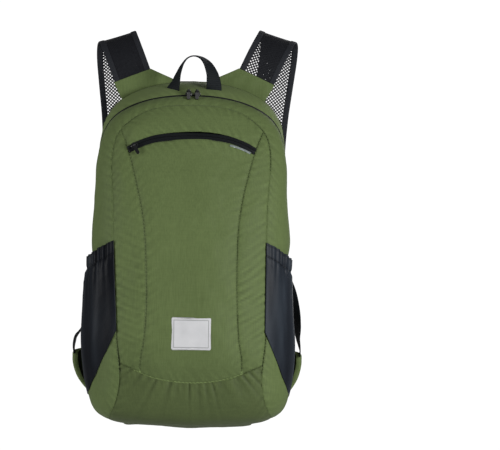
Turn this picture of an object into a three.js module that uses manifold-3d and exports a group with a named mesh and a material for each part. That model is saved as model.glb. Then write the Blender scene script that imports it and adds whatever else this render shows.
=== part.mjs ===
// Packable backpack: a thin ripstop bag sewn from panels, with a two-slider main zip, a curved front
// pocket zip, stretch side pockets, a webbing haul loop and open net shoulder straps, shown filled and worn.
// Millimetres, +Z up, +X to the right and the front of the bag towards -Y. The model is drawn with its base
// at z = 0 and its back at y = 0, and then moved so that the origin lies between the two strap crowns.
import * as THREE from 'three';
import { mergeVertices } from 'three/addons/utils/BufferGeometryUtils.js';
import Module from 'manifold-3d';

const wasm = await Module();
wasm.setup();

// Driving dimensions of the bag.
const BAG = { height: 448, width: 258, depth: 150, wall: 1.6, crown: 3.6 };
const SEAM = 0.35; // open line between two sewn panels
const CLEAR = 0.3; // gap between pieces that touch
const BACK_SEAM = 8; // how far the back panel's rim comes forward

// Driving dimensions of what is sewn on.
const MAIN_ZIP = { slot: 3, proud: 0.5 };
const POCKET_ZIP = { slot: 10, proud: 0.7 };
const LIP = { width: 3, proud: 1 };
const SLIDER = { width: 7, length: 9, plate: 1.4, leg: 1.2, window: 3.2, bar: 1.4, apart: 11 };
const PULL = { width: 4.6, length: 15, thick: 1.2, wire: 1.1, play: 0.45, eye: 3.4 };
const PULL_TILT = { main: 20, pocket: 6 }; // degrees that a pull's tab stands off the cloth
const LABEL = { width: 51, height: 42, thick: 0.8 };
const SIDE_POCKET = { wall: 1.5, bulge: 13.5, mouth: 7.2, seat: 0.9, gather: 1.1, gathers: 5 };
const LOOP = { width: 20, thick: 1.8, half: 27, rise: 36 };
const STRAP = { width: 50, binding: 7.5, net: 2.4, rim: 3.2, crown: 58, reach: 122 };
const ROOT = { thick: 2.2, rise: 4.2 };
const WEBBING = { width: 20, thick: 1.6, tail: 60, stand: 4, drop: 3, bowLeft: 2, bowRight: 8 };
const BUCKLE = { width: 28, thick: 4, bar: 4, slot: 4.6, side: 3.4 };
const WING = { thick: 1.4, reach: 20.5, gap: 5, rim: 8 };
const SHOULDER = { back: 50, drop: 2.5 }; // the origin behind the bag's back and below the strap crowns

// Places on the bag: half widths as shares of half of BAG.width, heights as shares of BAG.height, the
// haul loop's place as a share of BAG.depth, and the side pocket's rear seam as a share of a ring.
const PLACE = {
  zipEnd: 0.8013, lipFrom: 0.3566, lipTo: 0.597, labelBottom: 0.2243, loopBack: 0.267,
  pocketFoot: 0.058, pocketHeight: 0.442, pocketFront: 0.7597, pocketRear: -0.112,
  rootHalf: 0.6225, rootFoot: 0.124, rootFootOut: 0.721, wingFoot: 0.087, wingTop: 0.2165,
};

// Heights are shares of BAG.height, half widths of half of BAG.width, fronts of BAG.depth. Droop is how
// much lower a ring is at its sides, and rise how much higher at its back, as shares of BAG.height.
const SECTIONS = [
  { up: 0.009, half: 0.64, front: 0.76, back: 0.09, droop: 0, rise: 0 },
  { up: 0.022, half: 0.81, front: 0.84, back: 0.045, droop: 0, rise: 0 },
  { up: 0.044, half: 0.93, front: 0.9, back: 0.015, droop: 0, rise: 0 },
  { up: 0.078, half: 0.992, front: 0.945, back: 0, droop: 0, rise: 0 },
  { up: 0.13, half: 1.01, front: 0.975, back: 0, droop: 0, rise: 0 },
  { up: 0.23, half: 1.0, front: 1.0, back: 0, droop: 0, rise: 0 },
  { up: 0.335, half: 0.965, front: 1.0, back: 0, droop: 0, rise: 0 },
  { up: 0.44, half: 0.955, front: 0.985, back: 0, droop: 0, rise: 0 },
  { up: 0.54, half: 0.992, front: 0.945, back: 0, droop: 0, rise: 0 },
  { up: 0.635, half: 0.972, front: 0.885, back: 0, droop: 0, rise: 0 },
  { up: 0.725, half: 0.957, front: 0.81, back: 0, droop: 0.012, rise: 0.004 },
  { up: 0.803, half: 0.95, front: 0.725, back: 0, droop: 0.048, rise: 0.01 },
  { up: 0.866, half: 0.942, front: 0.64, back: 0, droop: 0.092, rise: 0.019 },
  { up: 0.91, half: 0.932, front: 0.56, back: 0, droop: 0.124, rise: 0.028 },
  { up: 0.941, half: 0.923, front: 0.475, back: 0, droop: 0.146, rise: 0.035 },
  { up: 0.96, half: 0.915, front: 0.375, back: 0, droop: 0.16, rise: 0.04 },
];
const AROUND = 36; // points round each ring
const CAP_ROWS = 2; // strips across the top and the base
const SQUARE = { front: 2.7, back: 6 }; // squareness of the front and back halves of a ring
const ARCH = 2.2; // how late the droop of a ring sets in towards its sides

// Seams of the front, from the middle outwards or from the top down: out is a share of half of BAG.width
// (of the seam's own half length for the arc and the pocket zip), up a share of BAG.height.
const FACE_SEAM = [
  { out: 0, up: 0.933 },
  { out: 0.2662, up: 0.9286 },
  { out: 0.4698, up: 0.913 },
  { out: 0.642, up: 0.8817 },
  { out: 0.7516, up: 0.8437 },
  { out: 0.7947, up: 0.7857 },
  { out: 0.763, up: 0.63 },
  { out: 0.7481, up: 0.4 },
  { out: 0.7481, up: 0.26 },
  { out: 0.7144, up: 0.15 },
  { out: 0.7443, up: 0.08 },
  { out: 0.8154, up: 0.025 },
  { out: 0.8678, up: -0.03 },
];
const PRINCESS_SEAM = [
  { out: 0.7346, up: 0.868 },
  { out: 0.6668, up: 0.824 },
  { out: 0.5812, up: 0.74 },
  { out: 0.4807, up: 0.6 },
  { out: 0.4535, up: 0.4 },
  { out: 0.4716, up: 0.27 },
  { out: 0.5124, up: 0.19 },
];
const ARC_SEAM = [
  { out: 0, up: 0.1317 },
  { out: 0.52, up: 0.1451 },
  { out: 0.9, up: 0.1763 },
  { out: 1, up: 0.1853 },
];
const POCKET_ZIP_LINE = [
  { out: 0, up: 0.8516 },
  { out: 0.62, up: 0.8337 },
  { out: 1, up: PLACE.zipEnd },
];

// Each end of the main zip leaves the top ring and runs down the side: places are shares of a quarter
// ring from the side to the front, rows are shares of the section table.
const ZIP_END = [
  { place: 0.4, row: 1 },
  { place: 0.32, row: 0.985 },
  { place: 0.26, row: 0.95 },
  { place: 0.21, row: 0.88 },
  { place: 0.185, row: 0.79 },
  { place: 0.175, row: 0.7 },
];

// Side pocket from its front seam (across 0) to its back seam (across 1). Low is the foot of the cloth
// and top its gathered mouth, as shares of its height above its foot.
const POCKET_EDGES = [
  { across: 0, low: 0.49, top: 1.085 },
  { across: 0.12, low: 0.33, top: 1.065 },
  { across: 0.25, low: 0.185, top: 1.035 },
  { across: 0.4, low: 0.085, top: 1.0 },
  { across: 0.6, low: 0.04, top: 0.975 },
  { across: 0.8, low: 0.015, top: 0.965 },
  { across: 1, low: 0, top: 0.97 },
];

// How full the side pocket stands from its foot (up 0) to its mouth (up 1), as shares of its bulge.
const POCKET_FULLNESS = [
  { up: 0, full: 0 },
  { up: 0.14, full: 0.39 },
  { up: 0.28, full: 0.715 },
  { up: 0.42, full: 0.93 },
  { up: 0.56, full: 1 },
  { up: 0.7, full: 0.89 },
  { up: 0.85, full: 0.65 },
  { up: 1, full: SIDE_POCKET.mouth / SIDE_POCKET.bulge },
];

// The haul loop: across is a share of LOOP.half, up runs from its seat to its top, turn in degrees.
const LOOP_BENDS = [
  { across: 1.0, up: 0, turn: 0 },
  { across: 1.01, up: 0.1, turn: 12 },
  { across: 0.97, up: 0.3, turn: 27 },
  { across: 0.905, up: 0.49, turn: 41 },
  { across: 0.665, up: 0.78, turn: 58 },
  { across: 0.35, up: 0.95, turn: 76 },
  { across: 0, up: 1, turn: 88 },
  { across: -0.28, up: 0.94, turn: 91 },
  { across: -0.5, up: 0.78, turn: 95 },
  { across: -0.71, up: 0.49, turn: 107 },
  { across: -0.85, up: 0.2, turn: 124 },
  { across: -0.97, up: 0, turn: 150 },
];

// A shoulder strap's middle line. Out is a share of its root's half width, up runs from the root to the
// crown, back is a share of STRAP.reach, and lean is the fall of the outer edge in degrees.
const STRAP_BENDS = [
  { out: 1.0, back: -0.025, up: 0, lean: 21.5 },
  { out: 1.15, back: 0.065, up: 0.52, lean: 20 },
  { out: 1.26, back: 0.23, up: 0.87, lean: 19 },
  { out: 1.31, back: 0.41, up: 1, lean: 18 },
  { out: 1.345, back: 0.62, up: 0.87, lean: 14 },
  { out: 1.34, back: 0.8, up: 0.48, lean: 9 },
  { out: 1.295, back: 0.92, up: -0.13, lean: 5 },
  { out: 1.23, back: 0.99, up: -0.97, lean: 2 },
  { out: 1.195, back: 1.0, up: -1.9, lean: 0 },
  { out: 1.195, back: 0.935, up: -2.84, lean: 0 },
  { out: 1.245, back: 0.8, up: -3.68, lean: 0 },
  { out: 1.27, back: 0.74, up: -3.98, lean: 0 },
];

// The adjuster webbing from the buckle to the wing: share of the way, bow outwards, and turn in degrees.
const WEBBING_BENDS = [
  { along: 0.2, bow: 0.1, sink: 0.02, turn: 12 },
  { along: 0.45, bow: 0.6, sink: 0.04, turn: 40 },
  { along: 0.7, bow: 1, sink: 0.03, turn: 70 },
  { along: 0.88, bow: 0.6, sink: 0.01, turn: 86 },
  { along: 1, bow: 0, sink: 0, turn: 90 },
];

// The wing's outer edge, from its top to its foot: up is a share from its foot to its top, out a share
// of the way from the side pocket to its reach, and rim a share of WING.rim.
const WING_EDGE = [
  { up: 1.0, out: 0.3, rim: 0.6 },
  { up: 0.93, out: 0.72, rim: 0.9 },
  { up: 0.84, out: 1.0, rim: 1 },
  { up: 0.66, out: 0.985, rim: 1 },
  { up: 0.4, out: 0.84, rim: 1 },
  { up: 0.16, out: 0.55, rim: 0.9 },
  { up: 0, out: 0.24, rim: 0.5 },
];

// Outline of a slider's plate: along is a share of half its length, half a share of half its width.
const SLIDER_PLATE = [
  { along: -1, half: 0.6 },
  { along: -0.6, half: 0.8 },
  { along: 0.5, half: 1 },
  { along: 1, half: 0.7 },
];
const SLIDER_CROWN = { foot: 0.86, shoulder: 0.66 }; // half lengths of the crown's foot and shoulder

// Heights, half widths and limits that follow from the sizes above.
const HALF = BAG.width / 2;
const LOOP_TOP = BAG.height + LOOP.rise;
const ROOT_TOP = BAG.height + ROOT.rise;
const CROWN_TOP = BAG.height + STRAP.crown;
const WING_REACH = HALF + WING.reach;
const POCKET_REAR = PLACE.pocketRear * AROUND;
const CUT = { front: -1.4 * BAG.depth, rear: -0.3 * BAG.depth }; // how deep the seams of the front are cut

// Finishes.
const OLIVE = { color: '#5d6e44', roughness: 0.72, metalness: 0 };
const OLIVE_DARK = { color: '#51603b', roughness: 0.75, metalness: 0 };
const STRETCH = { color: '#22252c', roughness: 0.6, metalness: 0 };
const BLACK_WEB = { color: '#15191d', roughness: 0.7, metalness: 0 };
const ZIP_BLACK = { color: '#101316', roughness: 0.5, metalness: 0 };
const GLOSS_BLACK = { color: '#0c0d0f', roughness: 0.15, metalness: 0.6 };
const WHITE_CLOTH = { color: '#dedee0', roughness: 0.6, metalness: 0 };
const GREY_TRIM = { color: '#8b959a', roughness: 0.45, metalness: 0 };

const V = (x, y, z) => new THREE.Vector3(x, y, z);
const lerp = THREE.MathUtils.lerp;
const signedPower = (value, power) => Math.sign(value) * Math.abs(value) ** power;

// Smooth value of a table's column at a fractional row.
function column(table, name, row) {
  const last = table.length - 1;
  const k = Math.min(Math.max(Math.floor(row), 0), last - 1);
  const at = (i) => table[Math.min(Math.max(i, 0), last)][name];
  const t = row - k;
  const slopeA = (at(k + 1) - at(k - 1)) / 2;
  const slopeB = (at(k + 2) - at(k)) / 2;
  const t2 = t * t;
  const t3 = t2 * t;
  return at(k) * (2 * t3 - 3 * t2 + 1) + slopeA * (t3 - 2 * t2 + t)
    + at(k + 1) * (3 * t2 - 2 * t3) + slopeB * (t3 - t2);
}

// A closed body from a grid of corners: each station is a loop of points, and the two ends are capped.
function loft(stations) {
  const sides = stations[0].length;
  const points = stations.flat();
  const index = [];
  for (let i = 0; i < stations.length - 1; i += 1) {
    for (let j = 0; j < sides; j += 1) {
      const a = i * sides + j;
      const b = i * sides + (j + 1) % sides;
      index.push(a, b, b + sides, a, b + sides, a + sides);
    }
  }
  const end = (stations.length - 1) * sides;
  for (let j = 1; j < sides - 1; j += 1) {
    index.push(0, j + 1, j, end, end + j, end + j + 1);
  }
  return closed(points, index);
}

// A geometry of given corners and triangles, with its faces pointing out.
function closed(points, index) {
  let volume = 0;
  for (let i = 0; i < index.length; i += 3) {
    const [a, b, c] = [points[index[i]], points[index[i + 1]], points[index[i + 2]]];
    volume += a.dot(V(0, 0, 0).crossVectors(b, c));
  }
  const faces = volume < 0 ? index.slice().reverse() : index;
  const geometry = new THREE.BufferGeometry();
  geometry.setAttribute('position', new THREE.Float32BufferAttribute(points.flatMap((p) => p.toArray()), 3));
  geometry.setIndex(faces);
  return geometry;
}

// A thin wall between an outer and an inner grid of points of the same size.
function wallBetween(outer, inner) {
  const rows = outer.length;
  const cols = outer[0].length;
  const points = [...outer.flat(), ...inner.flat()];
  const layer = rows * cols;
  const index = [];
  for (let i = 0; i < rows - 1; i += 1) {
    for (let j = 0; j < cols - 1; j += 1) {
      const a = i * cols + j;
      const [b, c, d] = [a + 1, a + cols + 1, a + cols];
      index.push(a, b, c, a, c, d);
      index.push(a + layer, c + layer, b + layer, a + layer, d + layer, c + layer);
    }
  }
  const rim = [];
  for (let j = 0; j < cols - 1; j += 1) rim.push([j, j + 1]);
  for (let i = 0; i < rows - 1; i += 1) rim.push([i * cols + cols - 1, (i + 1) * cols + cols - 1]);
  for (let j = cols - 1; j > 0; j -= 1) rim.push([(rows - 1) * cols + j, (rows - 1) * cols + j - 1]);
  for (let i = rows - 1; i > 0; i -= 1) rim.push([i * cols, (i - 1) * cols]);
  rim.forEach(([a, b]) => index.push(b, a, a + layer, b, a + layer, b + layer));
  return closed(points, index);
}

// A flat band along stations { at, wide, thick }, where wide and thick are half-size vectors.
function band(stations) {
  return loft(stations.map(({ at, wide, thick }) => [
    at.clone().add(wide).add(thick),
    at.clone().sub(wide).add(thick),
    at.clone().sub(wide).sub(thick),
    at.clone().add(wide).sub(thick),
  ]));
}

// The side direction, square to a line of [x, z] points, at one of them: to the right of its run.
function sideOf(line, i) {
  const [x0, z0] = line[Math.max(i - 1, 0)];
  const [x1, z1] = line[Math.min(i + 1, line.length - 1)];
  return V(z1 - z0, 0, x0 - x1).normalize();
}

// A curtain over a line of [x, z] points, running from y = from to y = to, of a given thickness.
function curtain(line, from, to, thickness) {
  return band(line.map(([x, z], i) => ({
    at: V(x, (from + to) / 2, z),
    wide: V(0, (to - from) / 2, 0),
    thick: sideOf(line, i).multiplyScalar(thickness / 2),
  })));
}

// Geometry to solid and back. The joined solid keeps only shared positions.
function solid(geometry) {
  const bare = geometry.clone();
  bare.deleteAttribute('normal');
  bare.deleteAttribute('uv');
  const merged = mergeVertices(bare, 1e-4);
  return new wasm.Manifold(new wasm.Mesh({
    numProp: 3,
    vertProperties: new Float32Array(merged.attributes.position.array),
    triVerts: new Uint32Array(merged.index.array),
  }));
}

function geometryOf(manifold) {
  const mesh = manifold.getMesh();
  const geometry = new THREE.BufferGeometry();
  geometry.setAttribute('position', new THREE.Float32BufferAttribute(mesh.vertProperties, 3));
  geometry.setIndex(Array.from(mesh.triVerts));
  return geometry;
}

// The separate bodies of a cut solid, largest first.
function separateBodies(manifold) {
  const mesh = manifold.getMesh();
  const parent = Array.from({ length: mesh.vertProperties.length / 3 }, (_, i) => i);
  const root = (i) => {
    let k = i;
    while (parent[k] !== k) {
      parent[k] = parent[parent[k]];
      k = parent[k];
    }
    return k;
  };
  for (let i = 0; i < mesh.triVerts.length; i += 3) {
    parent[root(mesh.triVerts[i + 1])] = root(mesh.triVerts[i]);
    parent[root(mesh.triVerts[i + 2])] = root(mesh.triVerts[i]);
  }
  const bodies = new Map();
  for (let i = 0; i < mesh.triVerts.length; i += 3) {
    const key = root(mesh.triVerts[i]);
    if (!bodies.has(key)) bodies.set(key, []);
    bodies.get(key).push(mesh.triVerts[i], mesh.triVerts[i + 1], mesh.triVerts[i + 2]);
  }
  return [...bodies.values()].sort((a, b) => b.length - a.length).map((triangles) => {
    const places = new Map();
    const points = [];
    const index = triangles.map((v) => {
      if (!places.has(v)) {
        places.set(v, points.length);
        points.push(V(...mesh.vertProperties.slice(3 * v, 3 * v + 3)));
      }
      return places.get(v);
    });
    return closed(points, index);
  });
}

// One ring of the bag at a table row, as points counted from +X round the front.
function ring(row) {
  const value = (name) => column(SECTIONS, name, row);
  const half = value('half') * HALF;
  const front = -value('front') * BAG.depth;
  const back = -value('back') * BAG.depth;
  const middle = (front + back) / 2;
  return Array.from({ length: AROUND }, (_, j) => {
    const angle = 2 * Math.PI * j / AROUND;
    const power = 2 / (Math.sin(angle) >= 0 ? SQUARE.front : SQUARE.back);
    const share = signedPower(Math.cos(angle), power);
    const depth = signedPower(Math.sin(angle), power);
    const y = middle + depth * (front - middle);
    const drop = value('droop') * (1 - Math.max(0, 1 - Math.abs(share) ** ARCH) ** (1 / ARCH));
    const lift = value('rise') * (y - front) / (back - front);
    return V(share * half, y, (value('up') - drop + lift) * BAG.height);
  });
}

// The strips that close the first or the last ring, with a slight crown of the given height.
function capRows(loop, crown) {
  const rows = [];
  for (let j = 1; j < AROUND / 2; j += 1) {
    const [a, b] = [loop[j], loop[AROUND - j]];
    const edge = 1 - Math.abs(2 * j / (AROUND / 2) - 1) ** 3;
    rows.push(Array.from({ length: CAP_ROWS - 1 }, (_, k) => {
      const t = (k + 1) / CAP_ROWS;
      return a.clone().lerp(b, t).add(V(0, 0, 4 * t * (1 - t) * crown * edge));
    }));
  }
  return rows;
}

// The bag's closed outer surface: its corners, its triangles and the smooth normal at each corner.
function bagSurface() {
  const rings = SECTIONS.map((_, k) => ring(k));
  const points = rings.flat();
  const index = [];
  for (let k = 0; k < rings.length - 1; k += 1) {
    for (let j = 0; j < AROUND; j += 1) {
      const a = k * AROUND + j;
      const b = k * AROUND + (j + 1) % AROUND;
      index.push(a, b, b + AROUND, a, b + AROUND, a + AROUND);
    }
  }
  const closeEnd = (first, crown, flip) => {
    const loop = rings[first / AROUND];
    const start = points.length;
    capRows(loop, crown).forEach((row) => points.push(...row));
    const at = (j, k) => {
      if (k === 0) return first + j;
      if (k === CAP_ROWS) return first + AROUND - j;
      return start + (j - 1) * (CAP_ROWS - 1) + k - 1;
    };
    const add = (a, b, c) => (flip ? index.push(a, c, b) : index.push(a, b, c));
    const ends = [[first, 1], [first + AROUND / 2, AROUND / 2 - 1]];
    for (let k = 0; k < CAP_ROWS; k += 1) {
      add(ends[0][0], at(1, k), at(1, k + 1));
      add(ends[1][0], at(ends[1][1], k + 1), at(ends[1][1], k));
      for (let j = 1; j < AROUND / 2 - 1; j += 1) {
        add(at(j, k), at(j + 1, k), at(j + 1, k + 1));
        add(at(j, k), at(j + 1, k + 1), at(j, k + 1));
      }
    }
  };
  closeEnd(0, -SECTIONS[0].up * BAG.height, true);
  closeEnd((rings.length - 1) * AROUND, BAG.crown, false);
  const geometry = closed(points, index);
  geometry.computeVertexNormals();
  const normals = points.map((_, i) => V(0, 0, 0).fromBufferAttribute(geometry.attributes.normal, i));
  return { rings, points, index, normals };
}

const surface = bagSurface();

// The solid inside the surface moved out by a distance, and the layer between two such distances.
function grown(distance) {
  return solid(closed(
    surface.points.map((p, i) => p.clone().addScaledVector(surface.normals[i], distance)),
    surface.index,
  ));
}

function layer(from, to) {
  return grown(to).subtract(grown(from));
}

// A point on the flat facets between the rings, and its normal, at a fractional row and ring place.
function onSurface(row, place) {
  const k = Math.min(Math.max(Math.floor(row), 0), SECTIONS.length - 2);
  const around = ((place % AROUND) + AROUND) % AROUND;
  const j = Math.floor(around);
  const corner = (dk, dj) => (k + dk) * AROUND + (j + dj) % AROUND;
  const blend = (list) => {
    const low = list[corner(0, 0)].clone().lerp(list[corner(0, 1)], around - j);
    const high = list[corner(1, 0)].clone().lerp(list[corner(1, 1)], around - j);
    return low.lerp(high, row - k);
  };
  return { at: blend(surface.points), normal: blend(surface.normals).normalize() };
}

// The ring row at a height and the ring place at a signed half width, found by halving on the front.
function rowAt(height, place) {
  let [low, high] = [0, SECTIONS.length - 1];
  for (let i = 0; i < 30; i += 1) {
    const middle = (low + high) / 2;
    if (onSurface(middle, place).at.z < height) low = middle;
    else high = middle;
  }
  return (low + high) / 2;
}

function onFront(x, z) {
  let [row, low, high] = [5, 0, AROUND / 2];
  for (let round = 0; round < 4; round += 1) {
    [low, high] = [0, AROUND / 2];
    for (let i = 0; i < 24; i += 1) {
      const middle = (low + high) / 2;
      if (onSurface(row, middle).at.x > x) low = middle;
      else high = middle;
    }
    row = rowAt(z, (low + high) / 2);
  }
  return { row, place: (low + high) / 2, ...onSurface(row, (low + high) / 2) };
}

// Smooth line through a few points.
function smoothLine(points, steps) {
  const curve = new THREE.CatmullRomCurve3(points.map(([x, z]) => V(x, 0, z)), false, 'centripetal');
  return curve.getPoints(steps).map((p) => [p.x, p.z]);
}
const mirrored = (line) => line.map(([x, z]) => [-x, z]);

// A seam table as points, and half of the outline seam from its top middle down to under the base.
const seamPoints = (table, half) => table.map(({ out, up }) => [out * half, up * BAG.height]);
const faceHalf = smoothLine(seamPoints(FACE_SEAM, HALF), 24);
const faceSeam = [...mirrored(faceHalf).reverse(), ...faceHalf.slice(1)];

// Where a line crosses a height, and how high it is at a half width.
function crossing(line, from, to, value) {
  const k = line.findIndex((point, i) => i > 0 && (point[from] - value) * (line[i - 1][from] - value) <= 0);
  const [a, b] = [line[k - 1], line[k]];
  return lerp(a[to], b[to], (value - a[from]) / (b[from] - a[from]));
}

// A line that runs from its left end over its middle to its right end, from the table of one half.
function bothSides(table, half, steps) {
  const right = seamPoints(table, half);
  return smoothLine([...mirrored(right).reverse(), ...right.slice(1)], steps);
}

// The gathered arc seam between the two sides of the outline seam.
const arcHalf = crossing(faceHalf.slice(8), 1, 0, ARC_SEAM.at(-1).up * BAG.height) + SEAM / 2;
const arcLine = bothSides(ARC_SEAM, arcHalf, 20);

// Half of a princess seam, from the outline seam down to the arc seam.
const princessFoot = PRINCESS_SEAM.at(-1).out * HALF;
const princessHalf = smoothLine([
  ...seamPoints(PRINCESS_SEAM, HALF),
  [princessFoot, crossing(arcLine.slice(10), 0, 1, princessFoot) - SEAM / 2],
], 16);

// The front pocket's zip runs from one princess seam to the other.
const zipReach = crossing(princessHalf, 1, 0, PLACE.zipEnd * BAG.height);
const zipLine = (half) => bothSides(POCKET_ZIP_LINE, half, 14);

// Stations along the main zip, square to the surface, from its right end over the top to its left end.
function mainZipPath(wideHalf, thickHalf, sunk = 0, trim = 0) {
  const last = SECTIONS.length - 1;
  const quarter = AROUND / 4;
  const rows = ZIP_END.length - 1;
  const tail = Array.from({ length: 2 * rows }, (_, i) => rows - i / 2)
    .map((r) => [column(ZIP_END, 'row', r) * last, column(ZIP_END, 'place', r) * quarter]);
  const first = Math.ceil(ZIP_END[0].place * quarter);
  const places = Array.from({ length: AROUND / 2 - 2 * first + 1 }, (_, i) => [last, first + i]);
  const leftTail = tail.slice().reverse().map(([row, place]) => [row, AROUND / 2 - place]);
  const marks = [...tail, ...places, ...leftTail];
  const path = marks.map(([row, place]) => onSurface(row, place));
  return path.map(({ at, normal }, i) => {
    const before = path[Math.max(i - 1, 0)].at;
    const after = path[Math.min(i + 1, path.length - 1)].at;
    const along = after.clone().sub(before).normalize();
    const across = V(0, 0, 0).crossVectors(normal, along).normalize();
    const inward = (i === 0 ? trim : 0) - (i === path.length - 1 ? trim : 0);
    return {
      at: at.clone().addScaledVector(normal, -sunk).addScaledVector(along, inward),
      wide: across.clone().multiplyScalar(wideHalf),
      thick: normal.clone().multiplyScalar(thickHalf),
      along,
      across,
      normal,
    };
  });
}

// The short seam from inside each end of the main zip straight back to the back panel.
function zipEndSeam({ at, along }, inward) {
  const start = at.clone().addScaledVector(along, inward * MAIN_ZIP.slot / 2);
  const seam = new THREE.BoxGeometry(BAG.width / 4, -BACK_SEAM - start.y, SEAM);
  return solid(seam.translate(start.x, (start.y - BACK_SEAM) / 2, start.z));
}

const pack = new THREE.Group();

function addPart(name, geometry, finish) {
  const mesh = new THREE.Mesh(geometry, new THREE.MeshStandardMaterial(finish));
  mesh.name = name;
  pack.add(mesh);
  return mesh;
}

// The sewn shell: one wall all round, cut along its seams and the two zips.
const cutters = [
  solid(curtain(faceSeam, CUT.front, -BACK_SEAM, SEAM)),
  solid(curtain(princessHalf, CUT.front, CUT.rear, SEAM)),
  solid(curtain(mirrored(princessHalf), CUT.front, CUT.rear, SEAM)),
  solid(curtain(arcLine, CUT.front, CUT.rear, SEAM)),
  solid(curtain(zipLine(zipReach + CLEAR), CUT.front, CUT.rear, POCKET_ZIP.slot)),
  solid(band(mainZipPath(MAIN_ZIP.slot / 2, 2 * BAG.wall))),
  zipEndSeam(mainZipPath(1, 1)[0], 1),
  zipEndSeam(mainZipPath(1, 1).at(-1), -1),
  solid(new THREE.BoxGeometry(3 * BAG.width, SEAM, 3 * BAG.height).translate(0, -BACK_SEAM, 0)),
];
const shell = cutters.reduce((body, cutter) => body.subtract(cutter), grown(0).subtract(grown(-BAG.wall)));

// Each panel is the body whose surface passes closest to its own mark, given on the bag.
const frontMark = (x, z) => onFront(x * HALF, z * BAG.height).at;
const PANELS = [
  { name: 'front_centre', mark: frontMark(0, 0.5), finish: OLIVE },
  { name: 'front_upper', mark: frontMark(0, 0.895), finish: OLIVE },
  { name: 'front_left', mark: frontMark(-0.63, 0.5), finish: OLIVE },
  { name: 'front_right', mark: frontMark(0.63, 0.5), finish: OLIVE },
  { name: 'base_panel', mark: frontMark(0, 0.06), finish: OLIVE_DARK },
  { name: 'side_band', mark: onSurface(7, 2).at, finish: OLIVE },
  { name: 'yoke', mark: V(0, -0.2 * BAG.depth, 0.985 * BAG.height), finish: OLIVE_DARK },
  { name: 'back_panel', mark: V(0, 0, 0.5 * BAG.height), finish: OLIVE_DARK },
];
function nearest(geometry, mark) {
  const corners = geometry.attributes.position;
  const faces = geometry.index.array;
  const corner = (i) => V(0, 0, 0).fromBufferAttribute(corners, faces[i]);
  let best = Infinity;
  for (let i = 0; i < faces.length; i += 3) {
    const face = new THREE.Triangle(corner(i), corner(i + 1), corner(i + 2));
    best = Math.min(best, face.closestPointToPoint(mark, V(0, 0, 0)).distanceTo(mark));
  }
  return best;
}
const bodies = separateBodies(shell);
PANELS.forEach(({ name, mark, finish }) => {
  const body = bodies.reduce((a, b) => (nearest(b, mark) < nearest(a, mark) ? b : a));
  addPart(name, body, finish);
});

// Main zip, closed all the way round, and the curved front pocket zip with the pale lip under its right end.
const coilHalf = (BAG.wall + MAIN_ZIP.proud) / 2;
const coilSunk = coilHalf - MAIN_ZIP.proud;
addPart('main_zip', band(mainZipPath(MAIN_ZIP.slot / 2 - CLEAR, coilHalf, coilSunk, CLEAR)), ZIP_BLACK);

const pocketTape = layer(-BAG.wall, POCKET_ZIP.proud).intersect(solid(
  curtain(zipLine(zipReach), CUT.front, CUT.rear, POCKET_ZIP.slot - 2 * CLEAR),
));
addPart('pocket_zip', geometryOf(pocketTape), ZIP_BLACK);

const lipShift = (POCKET_ZIP.slot + LIP.width) / 2 + CLEAR;
const zipMiddle = zipLine(zipReach);
const lipLine = zipMiddle
  .map(([x, z], i) => [x + sideOf(zipMiddle, i).x * lipShift, z + sideOf(zipMiddle, i).z * lipShift])
  .filter(([x]) => x >= PLACE.lipFrom * HALF && x <= PLACE.lipTo * HALF);
addPart('pocket_zip_lip', geometryOf(layer(CLEAR, CLEAR + LIP.proud).intersect(solid(
  curtain(lipLine, CUT.front, CUT.rear, LIP.width),
))), GREY_TRIM);

// Label, sewn flat on the front face.
const labelBlock = new THREE.BoxGeometry(LABEL.width, BAG.depth, LABEL.height);
labelBlock.translate(0, -BAG.depth, PLACE.labelBottom * BAG.height + LABEL.height / 2);
const label = layer(CLEAR, CLEAR + LABEL.thick).intersect(solid(labelBlock));
addPart('label_patch', geometryOf(label), WHITE_CLOTH);

// Side pockets: a stretch sheet over each side, full in the middle, gathered at its open mouth.
function sidePocket(side, inner, outer, spread) {
  const columns = 4 * SIDE_POCKET.gathers;
  const rows = 6;
  const value = (table, by, name, at) => {
    const k = table.findIndex((row, i) => i > 0 && row[by] >= at);
    const [a, b] = [table[k - 1], table[k]];
    return lerp(a[name], b[name], (at - a[by]) / (b[by] - a[by]));
  };
  const grid = (extra) => Array.from({ length: rows + 1 }, (_, i) => {
    const up = i / rows;
    return Array.from({ length: columns + 1 }, (__, j) => {
      const across = j / columns;
      const low = value(POCKET_EDGES, 'across', 'low', across);
      const share = lerp(low, value(POCKET_EDGES, 'across', 'top', across), up);
      const height = (PLACE.pocketFoot + share * PLACE.pocketHeight) * BAG.height;
      const frontPlace = onFront(PLACE.pocketFront * HALF, height).place;
      const place = lerp(frontPlace, POCKET_REAR - spread, across);
      const { at, normal } = onSurface(rowAt(height, place), place);
      const arch = Math.sin(Math.PI * across) ** 0.8;
      const fullness = value(POCKET_FULLNESS, 'up', 'full', up);
      const ripple = SIDE_POCKET.gather * up ** 5 * Math.cos(2 * Math.PI * SIDE_POCKET.gathers * across);
      const out = SIDE_POCKET.seat + SIDE_POCKET.bulge * arch * fullness + ripple * arch;
      const point = at.clone().addScaledVector(normal, out + extra);
      return V(side * point.x, point.y, point.z);
    });
  });
  return solid(wallBetween(grid(outer), grid(inner))).subtract(grown(CLEAR));
}
addPart('left_side_pocket', geometryOf(sidePocket(-1, 0, SIDE_POCKET.wall, 0)), STRETCH);
addPart('right_side_pocket', geometryOf(sidePocket(1, 0, SIDE_POCKET.wall, 0)), STRETCH);

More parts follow.
